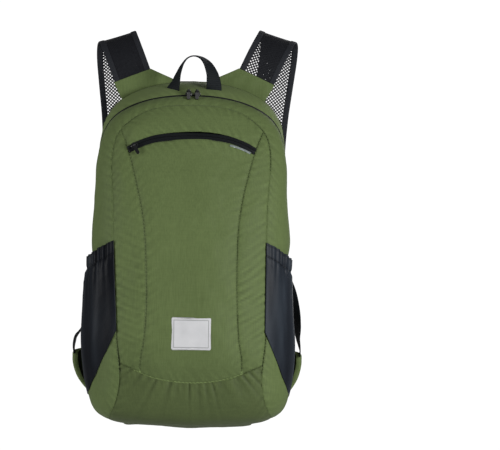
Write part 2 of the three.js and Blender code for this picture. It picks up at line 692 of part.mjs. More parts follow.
// Height of the top of the bag above a point.
function topAt(x, y) {
  let best = -Infinity;
  const { points, index } = surface;
  for (let i = 0; i < index.length; i += 3) {
    const [a, b, c] = [points[index[i]], points[index[i + 1]], points[index[i + 2]]];
    const area = (b.x - a.x) * (c.y - a.y) - (c.x - a.x) * (b.y - a.y);
    const u = ((b.x - x) * (c.y - y) - (c.x - x) * (b.y - y)) / area;
    const v = ((c.x - x) * (a.y - y) - (a.x - x) * (c.y - y)) / area;
    if (Math.abs(area) > 1e-9 && u >= 0 && v >= 0 && u + v <= 1) {
      best = Math.max(best, u * a.z + v * b.z + (1 - u - v) * c.z);
    }
  }
  return best;
}

// Stations of a flat strip from its middle line and a guide for its width at each point.
function stripStations(points, guides, width, thick, shift = 0) {
  return points.map((at, i) => {
    const along = points[Math.min(i + 1, points.length - 1)].clone()
      .sub(points[Math.max(i - 1, 0)]).normalize();
    const wide = guides[i].clone().addScaledVector(along, -guides[i].dot(along)).normalize();
    const flat = V(0, 0, 0).crossVectors(wide, along).normalize();
    return {
      at: at.clone().addScaledVector(wide, shift),
      wide: wide.clone().multiplyScalar(width / 2),
      thick: flat.clone().multiplyScalar(thick / 2),
      along,
      flat,
    };
  });
}

// A table's rows as a smooth line of points with smooth guides.
function smoothRows(rows, toPoint, toGuide, steps) {
  const line = new THREE.CatmullRomCurve3(rows.map(toPoint), false, 'centripetal');
  const points = [];
  const guides = [];
  for (let i = 0; i <= steps; i += 1) {
    const t = i / steps;
    const k = Math.min(Math.floor(t * (rows.length - 1)), rows.length - 2);
    points.push(line.getPoint(t));
    guides.push(toGuide(rows[k]).lerp(toGuide(rows[k + 1]), t * (rows.length - 1) - k));
  }
  return { points, guides };
}
const radians = THREE.MathUtils.degToRad;

// Haul loop: both feet on the yoke, the left one twisted a little, and turned edge-on at its top.
const loopBack = PLACE.loopBack * BAG.depth;
const loopSeat = topAt(LOOP.half, -loopBack) - BAG.wall;
const loopRows = smoothRows(
  LOOP_BENDS,
  ({ across, up }) => V(across * LOOP.half, -loopBack, lerp(loopSeat, LOOP_TOP, up)),
  ({ turn }) => V(Math.cos(radians(turn)), Math.sin(radians(turn)), 0),
  22,
);
const loopStrip = band(stripStations(loopRows.points, loopRows.guides, LOOP.width, LOOP.thick));
addPart('haul_loop', geometryOf(solid(loopStrip).subtract(grown(CLEAR))), BLACK_WEB);

// Shoulder straps, from their roots over the crown and down towards the hips.
function strapRows(side) {
  return smoothRows(
    STRAP_BENDS,
    ({ out, back, up }) => V(
      side * out * PLACE.rootHalf * HALF,
      back * STRAP.reach,
      lerp(ROOT_TOP, CROWN_TOP, up),
    ),
    ({ lean }) => V(side * Math.cos(radians(lean)), 0, -Math.sin(radians(lean))),
    20,
  );
}

// Strap roots: green flaps from the back seam of the yoke up to the foot of each strap.
function strapRoot(side) {
  const foot = strapRows(side).points[0];
  const [start] = stripStations(strapRows(side).points, strapRows(side).guides, STRAP.width, 1);
  const columns = 6;
  const rows = 3;
  const flat = start.flat.clone().multiplyScalar(Math.sign(start.flat.y));
  const grid = (offset) => Array.from({ length: rows + 1 }, (_, i) => (
    Array.from({ length: columns + 1 }, (__, j) => {
      const share = j / columns;
      const lowX = lerp(PLACE.rootFoot, PLACE.rootFootOut, share) * HALF;
      const lowY = -BACK_SEAM / 2;
      const low = V(side * lowX, lowY, topAt(lowX, lowY) - BAG.wall);
      const high = foot.clone().addScaledVector(start.wide, 2 * share - 1)
        .addScaledVector(start.along, -CLEAR);
      const out = V(0, 1, 0).lerp(flat, i / rows);
      return low.lerp(high, i / rows).addScaledVector(out, offset);
    })
  ));
  return geometryOf(solid(wallBetween(grid(-ROOT.thick / 2), grid(ROOT.thick / 2))).subtract(grown(CLEAR)));
}

const bindingShift = (STRAP.width - STRAP.binding) / 2;
const netWidth = STRAP.width - 2 * STRAP.binding - 2 * CLEAR;

// Ladder lock: a plain frame with two slots under a top bar, in the plane of the strap's end.
function buckleFrame() {
  const height = 3 * BUCKLE.bar + 2 * BUCKLE.slot;
  const frame = new THREE.Shape();
  const corner = BUCKLE.bar / 2;
  const half = BUCKLE.width / 2;
  frame.moveTo(-half + corner, 0);
  frame.lineTo(half - corner, 0);
  frame.quadraticCurveTo(half, 0, half, corner);
  frame.lineTo(half, height - corner);
  frame.quadraticCurveTo(half, height, half - corner, height);
  frame.lineTo(-half + corner, height);
  frame.quadraticCurveTo(-half, height, -half, height - corner);
  frame.lineTo(-half, corner);
  frame.quadraticCurveTo(-half, 0, -half + corner, 0);
  [0, 1].forEach((k) => {
    const low = BUCKLE.bar + k * (BUCKLE.bar + BUCKLE.slot);
    const slot = new THREE.Path();
    slot.moveTo(-half + BUCKLE.side, low);
    slot.lineTo(-half + BUCKLE.side, low + BUCKLE.slot);
    slot.lineTo(half - BUCKLE.side, low + BUCKLE.slot);
    slot.lineTo(half - BUCKLE.side, low);
    frame.holes.push(slot);
  });
  const options = { depth: BUCKLE.thick, bevelEnabled: false, curveSegments: 3 };
  const block = new THREE.ExtrudeGeometry(frame, options);
  return block.translate(0, 0, -BUCKLE.thick / 2);
}

function addStrap(name, side, bow) {
  const { points, guides } = strapRows(side);
  const piece = (width, thick, shift) => band(stripStations(points, guides, width, thick, shift));
  addPart(`${name}_strap_net`, piece(netWidth, STRAP.net, 0), BLACK_WEB);
  addPart(`${name}_strap_inner_binding`, piece(STRAP.binding, STRAP.rim, -bindingShift), BLACK_WEB);
  addPart(`${name}_strap_outer_binding`, piece(STRAP.binding, STRAP.rim, bindingShift), BLACK_WEB);
  addPart(`${name}_strap_root`, strapRoot(side), OLIVE);

  // The buckle hangs under the strap's end, with its plane along the strap.
  const end = stripStations(points, guides, STRAP.width, STRAP.net).at(-1);
  const wide = end.wide.clone().normalize();
  const frame = new THREE.Matrix4().makeBasis(wide, end.along, V(0, 0, 0).crossVectors(wide, end.along));
  frame.setPosition(end.at.clone().addScaledVector(end.along, CLEAR));
  addPart(`${name}_buckle`, buckleFrame().applyMatrix4(frame), GLOSS_BLACK);

  // Webbing: a tail in front of the lowest bar, once round it, and down behind it to the wing.
  const flat = V(0, 0, 0).crossVectors(wide, end.along).multiplyScalar(side);
  const toWorld = (down, out) => end.at.clone().addScaledVector(end.along, down).addScaledVector(flat, out);
  const barMiddle = CLEAR + 2.5 * BUCKLE.bar + 2 * BUCKLE.slot;
  const round = Math.hypot(BUCKLE.bar, BUCKLE.thick) / 2 + WEBBING.thick / 2 + CLEAR;
  const rows = [];
  rows.push({ at: toWorld(barMiddle + WEBBING.tail, round + WEBBING.stand), turn: 0 });
  rows.push({ at: toWorld(barMiddle + WEBBING.tail / 2, round + WEBBING.stand / 2), turn: 0 });
  for (let k = 0; k <= 6; k += 1) {
    const angle = Math.PI * k / 6;
    rows.push({ at: toWorld(barMiddle - round * Math.sin(angle), round * Math.cos(angle)), turn: 0 });
  }
  const leave = rows.at(-1).at;
  const wingMiddle = -BACK_SEAM + CLEAR + WING.gap / 2 - WING.thick;
  const arriveZ = PLACE.wingTop * BAG.height - WEBBING.drop;
  const arrive = V(side * (WING_REACH - 2 * WING.thick), wingMiddle, arriveZ);
  const above = arrive.clone().add(V(0, 0, WEBBING.width / 2));
  WEBBING_BENDS.forEach(({ along, bow: out, sink, turn }) => {
    const at = leave.clone().lerp(above, along);
    const length = leave.distanceTo(above);
    at.x += side * out * bow;
    at.z -= sink * length;
    rows.push({ at, turn });
  });
  rows.push({ at: arrive, turn: 90 });
  const lane = new THREE.CatmullRomCurve3(rows.map((row) => row.at), false, 'centripetal');
  const lanePoints = [];
  const laneGuides = [];
  rows.forEach((row, k) => {
    const pieces = k < rows.length - 1 && rows[k + 1].at.distanceTo(row.at) > 3 * round ? 3 : 1;
    for (let i = 0; i < (k < rows.length - 1 ? pieces : 1); i += 1) {
      const t = (k + i / pieces) / (rows.length - 1);
      lanePoints.push(lane.getPoint(Math.min(t, 1)));
      const turn = radians(k < rows.length - 1 ? lerp(row.turn, rows[k + 1].turn, i / pieces) : row.turn);
      laneGuides.push(wide.clone().multiplyScalar(Math.cos(turn)).add(V(0, -Math.sin(turn), 0)));
    }
  });
  const webbing = stripStations(lanePoints, laneGuides, WEBBING.width, WEBBING.thick);
  addPart(`${name}_webbing`, band(webbing), BLACK_WEB);

  addPart(`${name}_wing`, wing(side), OLIVE);
}

// Wing: cloth folded over at its outer edge, a whole sheet behind and a narrow rim in front.
function wing(side) {
  const across = [0, 0.5, 1];
  const seamY = -BACK_SEAM + CLEAR;
  const rearY = seamY + WING.gap;
  const frontY = seamY - 2 * WING.thick;
  const grid = (skin) => WING_EDGE.map(({ up, out, rim }) => {
    const z = lerp(PLACE.wingFoot, PLACE.wingTop, up) * BAG.height;
    const root = onSurface(rowAt(z, POCKET_REAR), POCKET_REAR).at.x + SIDE_POCKET.seat
      + SIDE_POCKET.wall + 2 * CLEAR;
    const edge = lerp(root, WING_REACH, out);
    const inset = skin * WING.thick;
    const fold = edge - WING.thick;
    const rimStart = Math.max(fold - rim * WING.rim, root + 2 * WING.thick);
    const rear = across.map((t) => V(side * lerp(root, fold, t), lerp(seamY, rearY, t) - inset, z));
    const front = [1, 0].map((t) => V(side * lerp(rimStart, fold, t), frontY + inset, z));
    return [...rear, V(side * (edge - inset), (rearY + frontY) / 2, z), ...front];
  });
  const room = sidePocket(side, -SIDE_POCKET.seat, SIDE_POCKET.wall + CLEAR, 0.1);
  return geometryOf(solid(wallBetween(grid(0), grid(1))).subtract(room));
}

addStrap('left', -1, WEBBING.bowLeft);
addStrap('right', 1, WEBBING.bowRight);

// Slider: a plate over the coil with a crown, a bar on two legs along the zip, that carries the pull.
function sliderBody() {
  const height = SLIDER.plate + SLIDER.window + SLIDER.bar;
  const end = SLIDER.length / 2;
  const edge = (side) => SLIDER_PLATE.map(({ along, half }) => (
    new THREE.Vector2(along * end, side * half * SLIDER.width / 2)
  ));
  const plate = new THREE.Shape([...edge(-1), ...edge(1).reverse()]);
  const base = solid(new THREE.ExtrudeGeometry(plate, { depth: SLIDER.plate, bevelEnabled: false }));
  const crown = new THREE.Shape();
  const foot = SLIDER_CROWN.foot * end;
  const shoulder = SLIDER_CROWN.shoulder * end;
  crown.moveTo(-foot, 0);
  crown.lineTo(-shoulder, height);
  crown.lineTo(shoulder, height);
  crown.lineTo(foot, 0);
  const window = new THREE.Path();
  window.moveTo(-foot + SLIDER.leg, SLIDER.plate);
  window.lineTo(foot - SLIDER.leg, SLIDER.plate);
  window.lineTo(shoulder - SLIDER.leg, height - SLIDER.bar);
  window.lineTo(-shoulder + SLIDER.leg, height - SLIDER.bar);
  crown.holes.push(window);
  const arch = new THREE.ExtrudeGeometry(crown, { depth: SLIDER.bar, bevelEnabled: false });
  arch.rotateX(Math.PI / 2);
  arch.translate(0, SLIDER.bar / 2, 0);
  return geometryOf(base.add(solid(arch)));
}

// Pull: an eye round the crown's bar and a flat tab with a rounded end, hanging along -Y from the bar.
function pullBody() {
  const hole = SLIDER.bar / Math.SQRT2 + PULL.play;
  const ring = new THREE.Shape();
  ring.absarc(0, 0, hole + PULL.wire, 0, 2 * Math.PI);
  const opening = new THREE.Path();
  opening.absarc(0, 0, hole, 0, 2 * Math.PI, true);
  ring.holes.push(opening);
  const eye = new THREE.ExtrudeGeometry(ring, { depth: PULL.eye, bevelEnabled: false, curveSegments: 6 });
  eye.rotateY(Math.PI / 2);
  eye.translate(-PULL.eye / 2, 0, 0);
  const tab = new THREE.Shape();
  const half = PULL.width / 2;
  const neck = PULL.eye / 2;
  const far = PULL.length;
  tab.moveTo(-neck, hole + PULL.wire / 2);
  tab.lineTo(neck, hole + PULL.wire / 2);
  tab.lineTo(half, hole + 3 * PULL.wire);
  tab.lineTo(half, far - half);
  tab.absarc(0, far - half, half, 0, Math.PI, false);
  tab.lineTo(-half, hole + 3 * PULL.wire);
  const plate = new THREE.ExtrudeGeometry(tab, { depth: PULL.thick, bevelEnabled: false, curveSegments: 4 });
  plate.translate(0, 0, -PULL.thick / 2);
  plate.rotateX(Math.PI);
  return geometryOf(solid(eye).add(solid(plate)));
}

// Places a slider on a zip, with X along the zip and Z out of the cloth, and its pull on the crown's bar.
function addSlider(sliderName, pullName, { at, along, normal, lift, tilt }) {
  const across = V(0, 0, 0).crossVectors(normal, along).normalize();
  const frame = new THREE.Matrix4().makeBasis(along, across, normal);
  frame.setPosition(at.clone().addScaledVector(normal, lift + CLEAR));
  addPart(sliderName, sliderBody().applyMatrix4(frame), GLOSS_BLACK);
  const barHeight = SLIDER.plate + SLIDER.window + SLIDER.bar / 2;
  const pull = pullBody().rotateX(radians(tilt)).translate(0, 0, barHeight).applyMatrix4(frame);
  addPart(pullName, pull, GLOSS_BLACK);
}

// The main zip's two sliders meet at the top middle.
const zipStations = mainZipPath(1, 1);
const topStation = zipStations[(zipStations.length - 1) / 2];
const alongX = V(1, 0, 0);
const topNormal = V(0, topStation.normal.y, topStation.normal.z).normalize();
[['left', -1], ['right', 1]].forEach(([name, side]) => {
  const at = topStation.at.clone().add(V(side * SLIDER.apart / 2, 0, 0));
  addSlider(`${name}_slider`, `${name}_pull`, {
    at, along: alongX, normal: topNormal, lift: MAIN_ZIP.proud, tilt: PULL_TILT.main,
  });
});

// The front pocket's slider stands at the left end of its zip.
const [startX, startZ] = zipLine(zipReach)[1];
const [nextX, nextZ] = zipLine(zipReach)[2];
const pocketStart = onFront(startX, startZ);
const pocketAlong = onFront(nextX, nextZ).at.sub(pocketStart.at).normalize();
const pocketNormal = pocketStart.normal.clone()
  .addScaledVector(pocketAlong, -pocketStart.normal.dot(pocketAlong)).normalize();
addSlider('pocket_slider', 'pocket_pull', {
  at: pocketStart.at,
  along: pocketAlong,
  normal: pocketNormal,
  lift: POCKET_ZIP.proud,
  tilt: PULL_TILT.pocket,
});

pack.position.set(0, -SHOULDER.back, SHOULDER.drop - CROWN_TOP);

export default pack;
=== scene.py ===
import math

import bmesh
import bpy
import numpy as np
from mathutils import Matrix, Vector
from mathutils.bvhtree import BVHTree
from mathutils.kdtree import KDTree


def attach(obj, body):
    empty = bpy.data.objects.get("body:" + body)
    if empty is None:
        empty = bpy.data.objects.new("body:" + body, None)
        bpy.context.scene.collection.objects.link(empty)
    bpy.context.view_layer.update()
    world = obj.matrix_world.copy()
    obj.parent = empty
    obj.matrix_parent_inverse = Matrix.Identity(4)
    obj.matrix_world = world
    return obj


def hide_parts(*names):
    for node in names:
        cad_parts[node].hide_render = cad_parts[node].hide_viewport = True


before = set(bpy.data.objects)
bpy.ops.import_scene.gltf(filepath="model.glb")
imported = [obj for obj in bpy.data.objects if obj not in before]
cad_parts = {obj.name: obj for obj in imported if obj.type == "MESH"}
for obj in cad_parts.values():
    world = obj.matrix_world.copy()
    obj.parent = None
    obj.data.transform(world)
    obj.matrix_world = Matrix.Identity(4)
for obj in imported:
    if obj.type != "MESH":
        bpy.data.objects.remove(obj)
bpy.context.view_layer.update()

# Sewn bag. Thin coated ripstop, cut as panels and sewn edge to edge, stands full and round when packed.
# The body is laid out in millimetres from its base and its back, ring by ring, and every panel is cut
# from that one surface along its seams.
MM = 0.001
SIDES = (("left", -1), ("right", 1))
ORIGIN = Vector((0, 50, 503.5))
BAG = {"height": 448, "half": 129, "depth": 150, "crown": 3.6}
SECTIONS = [  # up, half width, front, back, droop at the sides, rise at the back: shares of the bag
    (0.009, 0.64, 0.76, 0.09, 0, 0),
    (0.022, 0.81, 0.84, 0.045, 0, 0),
    (0.044, 0.93, 0.9, 0.015, 0, 0),
    (0.078, 0.992, 0.945, 0, 0, 0),
    (0.13, 1.01, 0.975, 0, 0, 0),
    (0.23, 1.0, 1.0, 0, 0, 0),
    (0.335, 0.965, 1.0, 0, 0, 0),
    (0.44, 0.955, 0.985, 0, 0, 0),
    (0.54, 0.992, 0.945, 0, 0, 0),
    (0.635, 0.972, 0.885, 0, 0, 0),
    (0.725, 0.957, 0.81, 0, 0.012, 0.004),
    (0.803, 0.95, 0.725, 0, 0.048, 0.01),
    (0.866, 0.942, 0.64, 0, 0.092, 0.019),
    (0.91, 0.932, 0.56, 0, 0.124, 0.028),
    (0.941, 0.923, 0.475, 0, 0.146, 0.035),
    (0.96, 0.915, 0.375, 0, 0.16, 0.04),
]
SQUARE = {"front": 2.7, "back": 6}
ARCH = 2.2
RING_POINTS, RING_DRAWN = 320, 721
ROW_STEP, CAP_STEP = 2.6, 2.8
half_ring = RING_POINTS // 2


def column(table, name, row):
    last = len(table) - 1
    k = min(max(int(math.floor(row)), 0), last - 1)
    at = lambda i: table[min(max(i, 0), last)][name]
    t = row - k
    slope_a = (at(k + 1) - at(k - 1)) / 2
    slope_b = (at(k + 2) - at(k)) / 2
    return (
        at(k) * (2 * t**3 - 3 * t**2 + 1) + slope_a * (t**3 - 2 * t**2 + t)
        + at(k + 1) * (3 * t**2 - 2 * t**3) + slope_b * (t**3 - t**2)
    )


def run_along(line):
    """How far along a line each of its points lies."""
    return np.concatenate([[0], np.cumsum(np.linalg.norm(np.diff(np.array(line), axis=0), axis=1))])


def even(line, count):
    """A polyline's points set at even distances along it."""
    run = run_along(line)
    wanted = np.linspace(0, run[-1], count + 1)
    return np.stack([np.interp(wanted, run, np.array(line)[:, k]) for k in range(3)], axis=1)


def bag_points(row, angle, square):
    """Points of the bag by table row and by the angles that draw its ring, round from the right side."""
    up, half, front, back, droop, rise = (column(SECTIONS, name, row) for name in range(6))
    front, back = -front * BAG["depth"], -back * BAG["depth"]
    share, depth = (np.sign(k) * np.abs(k) ** (2 / square) for k in (np.cos(angle), np.sin(angle)))
    y = (front + back) / 2 + depth * (front - back) / 2
    drop = droop * (1 - np.maximum(0, 1 - np.abs(share) ** ARCH) ** (1 / ARCH))
    lift = rise * (y - front) / (back - front)
    return np.stack([share * half * BAG["half"], y, (up - drop + lift) * BAG["height"]], axis=-1)


def bag_point(row, angle):
    return Vector(bag_points(row, angle, SQUARE["front" if math.sin(angle) >= 0 else "back"]))


def ring(row):
    """One ring of the bag: right side, front, left side, and back again, in even steps."""
    return np.concatenate([
        even(bag_points(row, start + np.linspace(0, math.pi, RING_DRAWN), SQUARE[half]), half_ring)[:-1]
        for start, half in ((0, "front"), (math.pi, "back"))
    ])


def ramp(value, low, high):
    """Nought up to low, one from high on, and straight between them."""
    return np.clip((value - low) / (high - low), 0, 1)


def bell(value, width):
    return np.exp(-((value / width) ** 2))


def grid(bm, points, marks=(), wrap=False):
    """A grid of vertices at a table of points with named values, joined at its sides where it wraps round."""
    layers = [(bm.verts.layers.float.new(name), values) for name, values in marks]
    rows, columns = points.shape[:2]
    made = bmesh.ops.create_grid(bm, x_segments=columns - 1, y_segments=rows - 1, size=1)["verts"]
    for v in made:
        i, j = round((v.co.y + 1) / 2 * (rows - 1)), round((v.co.x + 1) / 2 * (columns - 1))
        v.co = points[i, j]
        for layer, values in layers:
            v[layer] = float(values[i][j])
    if wrap:
        bmesh.ops.remove_doubles(bm, verts=made, dist=1e-4)


rows = []
for k in range(len(SECTIONS) - 1):
    rise = (SECTIONS[k + 1][0] - SECTIONS[k][0]) * BAG["height"]
    run = (SECTIONS[k + 1][2] - SECTIONS[k][2]) * BAG["depth"]
    steps = math.ceil(math.hypot(rise, run) / ROW_STEP)
    rows += [k + i / steps for i in range(steps)]
rows.append(len(SECTIONS) - 1)
rings = np.array([ring(row) for row in rows])


def cap(loop, crown):
    """Ruled cloth from the front to the back of a ring, slightly crowned."""
    front = loop[: half_ring + 1]
    back = np.concatenate([loop[:1], loop[:half_ring - 1:-1]])
    count = max(4, math.ceil(np.abs(front - back)[:, 1].max() / CAP_STEP))
    t = np.linspace(0, 1, count + 1)[:, None, None]
    edge = 1 - np.abs(np.linspace(-1, 1, half_ring + 1)) ** 3
    points = front[None] * (1 - t) + back[None] * t
    points[:, :, 2] += (4 * t * (1 - t))[:, :, 0] * crown * edge[None]
    return points


bag = bmesh.new()
grid(bag, np.concatenate([rings, rings[:, :1]], axis=1), wrap=True)
grid(bag, cap(rings[0], -SECTIONS[0][0] * BAG["height"]))
grid(bag, cap(rings[-1], BAG["crown"]))
bmesh.ops.remove_doubles(bag, verts=bag.verts, dist=1e-3)
bmesh.ops.recalc_face_normals(bag, faces=bag.faces)
bag.normal_update()
bag_tree = BVHTree.FromBMesh(bag)


def hit(point, direction, tree):
    """Where a line from a point first meets the cloth, and the cloth's normal there."""
    return tree.ray_cast(Vector(point), Vector(direction))[:2]


def on_front(x, z, tree):
    return hit((x, -400, z), (0, 1, 0), tree)


# Seams of the bag, sewn edge to edge with the cloth turned in: tables of half width and height for one side,
# and how far a point of the cloth is from each of them.
FACE_SEAM = [
    (0, 0.933), (0.2662, 0.9286), (0.4698, 0.913), (0.642, 0.8817), (0.7516, 0.8437),
    (0.7947, 0.7857), (0.763, 0.63), (0.7481, 0.4), (0.7481, 0.26), (0.7144, 0.15),
    (0.7443, 0.08), (0.8154, 0.025), (0.8678, -0.03),
]
PRINCESS_SEAM = [
    (0.7346, 0.868), (0.6668, 0.824), (0.5812, 0.74), (0.4807, 0.6), (0.4535, 0.4),
    (0.4716, 0.27), (0.5124, 0.19), (0.5124, 0.12),
]
ARC_SEAM = [(0, 0.1317), (0.52, 0.1451), (0.9, 0.1763), (1, 0.1853), (1.2, 0.2)]
ZIP_LINE = [(0, 0.8432), (0.35, 0.8405), (0.62, 0.8325), (0.85, 0.8165), (1, 0.8013), (1.12, 0.7903)]
ZIP_END = [  # from the top down: share of a quarter turn, share of the rows
    (0.4, 1), (0.32, 0.988), (0.235, 0.965), (0.15, 0.93), (0.075, 0.88), (0.02, 0.8),
]
BACK_SEAM = 8
MAIN_SLOT = 3.5
POCKET_SLOT = 10


def spline(points, t):
    """A smooth line through points, at a share of its length in spans."""
    points = [Vector(p) for p in points]
    last = len(points) - 1
    k = min(int(t * last), last - 1)
    w = t * last - k
    before = points[k - 1] if k > 0 else 2 * points[0] - points[1]
    after = points[k + 2] if k + 2 <= last else 2 * points[-1] - points[-2]
    p = (before, points[k], points[k + 1], after)
    step = [max((p[i + 1] - p[i]).length, 1e-4) ** 0.5 for i in range(3)]  # keeps the line from looping
    a = (p[1] - p[0]) / step[0] - (p[2] - p[0]) / (step[0] + step[1]) + (p[2] - p[1]) / step[1]
    b = (p[2] - p[1]) / step[1] - (p[3] - p[1]) / (step[1] + step[2]) + (p[3] - p[2]) / step[2]
    a, b = a * step[1], b * step[1]
    return (
        p[1] * (2 * w**3 - 3 * w**2 + 1) + a * (w**3 - 2 * w**2 + w)
        + p[2] * (3 * w**2 - 2 * w**3) + b * (w**3 - w**2)
    )


def seam_line(table, half, count=160):
    points = [(x * half, z * BAG["height"], 0) for x, z in table]
    return np.array([spline(points, i / count)[:2] for i in range(count + 1)])


def even_seam(table, half):
    """A seam that runs evenly over the middle, from its left end to its right end."""
    return seam_line([(-x, z) for x, z in reversed(table[1:])] + list(table), half, 320)


def out_at(line, height):
    """How far out a seam lies at a height."""
    return float(np.interp(-height, -line[:, 1], line[:, 0]))


face_half = seam_line(FACE_SEAM, BAG["half"])
princess = seam_line(PRINCESS_SEAM, BAG["half"])
arc_reach = out_at(face_half[50:], ARC_SEAM[3][1] * BAG["height"])
arc = even_seam(ARC_SEAM, arc_reach)
zip_reach = out_at(princess, ZIP_LINE[4][1] * BAG["height"])
pocket_line = even_seam(ZIP_LINE, zip_reach)
LEFT_DRIFT = [(60, 3.3), (110, 3.1), (140, 1.9), (200, -1.2), (241, -3), (300, -2), (370, 0)]


def table_value(table, name, at):
    return float(np.interp(at, [r[0] for r in table], [r[name] for r in table]))


def drift(z, x=0):
    """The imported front's lower seams stand a little to the right, its left face seam a little out."""
    return table_value(LEFT_DRIFT, 1, z) if x < -80 else 3.3 * min(max((310 - z) / 150, 0), 1)


def off_line(line, x, z):
    """Distance of a point from a seam, above nought over a seam that runs to the right."""
    gap = line - (x, z)
    k = min(max(int(np.argmin(np.einsum("ij,ij->i", gap, gap))), 1), len(line) - 2)
    run, gap = line[k + 1] - line[k - 1], -gap[k - 1]
    return (run[0] * gap[1] - run[1] * gap[0]) / np.hypot(*run)


def inside_face(co):
    """Below nought inside the outline of the front face, as far as the nearest point of its seam."""
    return off_line(face_half, abs(co.x - drift(co.z, co.x)), co.z)


def beyond_princess(co):
    x, (top, slope) = abs(co.x - drift(co.z)), (princess[0], princess[4] - princess[0])
    if co.z > top[1]:
        return x - (top[0] + (co.z - top[1]) * slope[0] / slope[1])
    return x - out_at(princess, co.z)


def above_arc(co):
    return co.z - float(np.interp(co.x - drift(co.z), arc[:, 0], arc[:, 1]))


def off_pocket_zip(co):
    return off_line(pocket_line, co.x, co.z)


def pocket_slot(co):
    """Half the width of the pocket zip's slot, which narrows towards both ends."""
    return POCKET_SLOT / 2 * (1 - 0.42 * min(abs(co.x) / zip_reach, 1) ** 2.5)


# The main zip's path: along the edge of the top, then down both sides.
zip_rows, crown_row = len(ZIP_END) - 1, len(SECTIONS) - 1
tail = []
for i in range(60):
    angle, up = (column(ZIP_END, name, zip_rows * (1 - i / 60)) for name in (0, 1))
    tail.append(bag_point(up * crown_row, angle * math.pi / 2))
top = [bag_point(crown_row, (0.4 + 1.2 * i / 120) * math.pi / 2) for i in range(121)]
main_path = tail + top + [Vector((-p.x, p.y, p.z)) for p in reversed(tail)]
main_path = [Vector(p) for p in even(main_path, 300)]
main_kd = KDTree(len(main_path))
for i, p in enumerate(main_path):
    main_kd.insert(p, i)
main_kd.balance()


def off_main_zip(co):
    """Distance from the main zip's middle line, less half its slot."""
    near, i, _ = main_kd.find(co)
    a, b = main_path[max(i - 1, 0)], main_path[min(i + 1, len(main_path) - 1)]
    run = (b - a).normalized()
    gap = co - near
    square = gap - run * gap.dot(run)
    beyond = i in (0, len(main_path) - 1) and gap.dot(run) * (1 if i else -1) > 0
    return (gap if beyond else square).length - MAIN_SLOT / 2


SNAP = 0.04  # share of an edge within which a cut goes through its end


def cut(bm, faces, measure):
    """Parts faces along the line where a measure of their corners passes through nought."""
    edges = list(dict.fromkeys(e for f in faces for e in f.edges))
    value = {v: measure(v.co) for v in dict.fromkeys(v for e in edges for v in e.verts)}
    fresh = []
    for e in edges:
        a, b = e.verts
        if value[a] * value[b] < 0:
            share = value[a] / (value[a] - value[b])
            if min(share, 1 - share) < SNAP:
                near = a if share < SNAP else b
                value[near] = 0
                fresh.append(near)
    for e in edges:
        a, b = e.verts
        if value[a] * value[b] < 0:
            fresh.append(bmesh.utils.edge_split(e, a, value[a] / (value[a] - value[b]))[1])
    bmesh.ops.connect_verts(bm, verts=list(dict.fromkeys(fresh)), check_degenerate=False)


def middle(face):
    return face.calc_center_median()


def part_along(label, measure, reach=8):
    """Parts the faces of one panel along a line, looking no further from it than a reach."""
    cut(bag, [f for f in bag.faces if f[panel_of] == label and abs(measure(middle(f))) < reach], measure)


def give(old, new, rule):
    """Gives the faces of one panel that meet a rule to another panel."""
    for f in bag.faces:
        if f[panel_of] == old and rule(middle(f)):
            f[panel_of] = new


panel_of = bag.faces.layers.int.new("panel")
for name in ("seam_off", "seam_run", "seam_tone", "crease"):
    bag.verts.layers.float.new(name)
smooth = bag.verts.layers.float_vector.new("smooth")
for v in bag.verts:
    v[smooth] = v.normal
UNCUT, BACK, YOKE, SIDE, BASE, LEFT, RIGHT, UPPER, CENTRE, GAP = range(10)
part_along(UNCUT, lambda co: co.y + BACK_SEAM)
give(UNCUT, BACK, lambda co: co.y > -BACK_SEAM)
give(UNCUT, SIDE, lambda co: True)
part_along(SIDE, off_main_zip)
give(SIDE, GAP, lambda co: off_main_zip(co) < 0)
foot = main_path[0]
behind_foot = [
    f for f in bag.faces
    if f[panel_of] == SIDE and abs(middle(f).z - foot.z) < 8 and middle(f).y > foot.y
]
cut(bag, behind_foot, lambda co: co.z - foot.z)
give(SIDE, YOKE, lambda co: co.z >= foot.z and co.y > main_kd.find(co)[0].y)
part_along(SIDE, inside_face)
give(SIDE, CENTRE, lambda co: inside_face(co) < 0)
part_along(CENTRE, above_arc)
give(CENTRE, BASE, lambda co: above_arc(co) < 0)
part_along(CENTRE, beyond_princess)
give(CENTRE, RIGHT, lambda co: beyond_princess(co) > 0 and co.x > 0)
give(CENTRE, LEFT, lambda co: beyond_princess(co) > 0)
for edge in (1, -1):
    part_along(CENTRE, lambda co: off_pocket_zip(co) - edge * pocket_slot(co), 18)
give(CENTRE, GAP, lambda co: abs(off_pocket_zip(co)) < pocket_slot(co))
give(CENTRE, UPPER, lambda co: off_pocket_zip(co) > 0)

# Each panel is drawn tight at its seams and stands a little proud between them, with small slanting puckers
# along the stitches, gathers under the arc seam and the soft dents of thin cloth.
rng = np.random.default_rng(7)
WAVES = [
    (rng.normal(size=3), rng.uniform(0, 2 * math.pi), length, height)
    for length, height, count in ((95, 0.55, 5), (48, 0.3, 6), (22, 0.1, 6), (12, 0.05, 5))
    for _ in range(count)
]
GATHER, STRIP_FOLD, ARC_TUCK, CROWN_FOLD = 3.4, 0.55, 4.5, 4.0
CLOTH, SEAM_WIDTH = 1.0, 2.8


def dents(points):
    """Soft uneven height of the filled cloth, in millimetres."""
    total = np.zeros(len(points))
    for direction, phase, length, height in WAVES:
        line = points @ (direction / np.linalg.norm(direction)) * 2 * math.pi / length
        total += height * np.sin(line + phase + 0.7 * np.sin(line * 0.37 + 2 * phase))
    return total


def sag(points):
    """The filled foot of the bag hangs lower in the middle and at its left corner."""
    x, z = points[:, 0], points[:, 2]
    return ramp(z, 55, 0) ** 1.5 * (2.8 * bell(x + 98, 24) + 2.4 * bell(x - 5, 50) - 0.6)


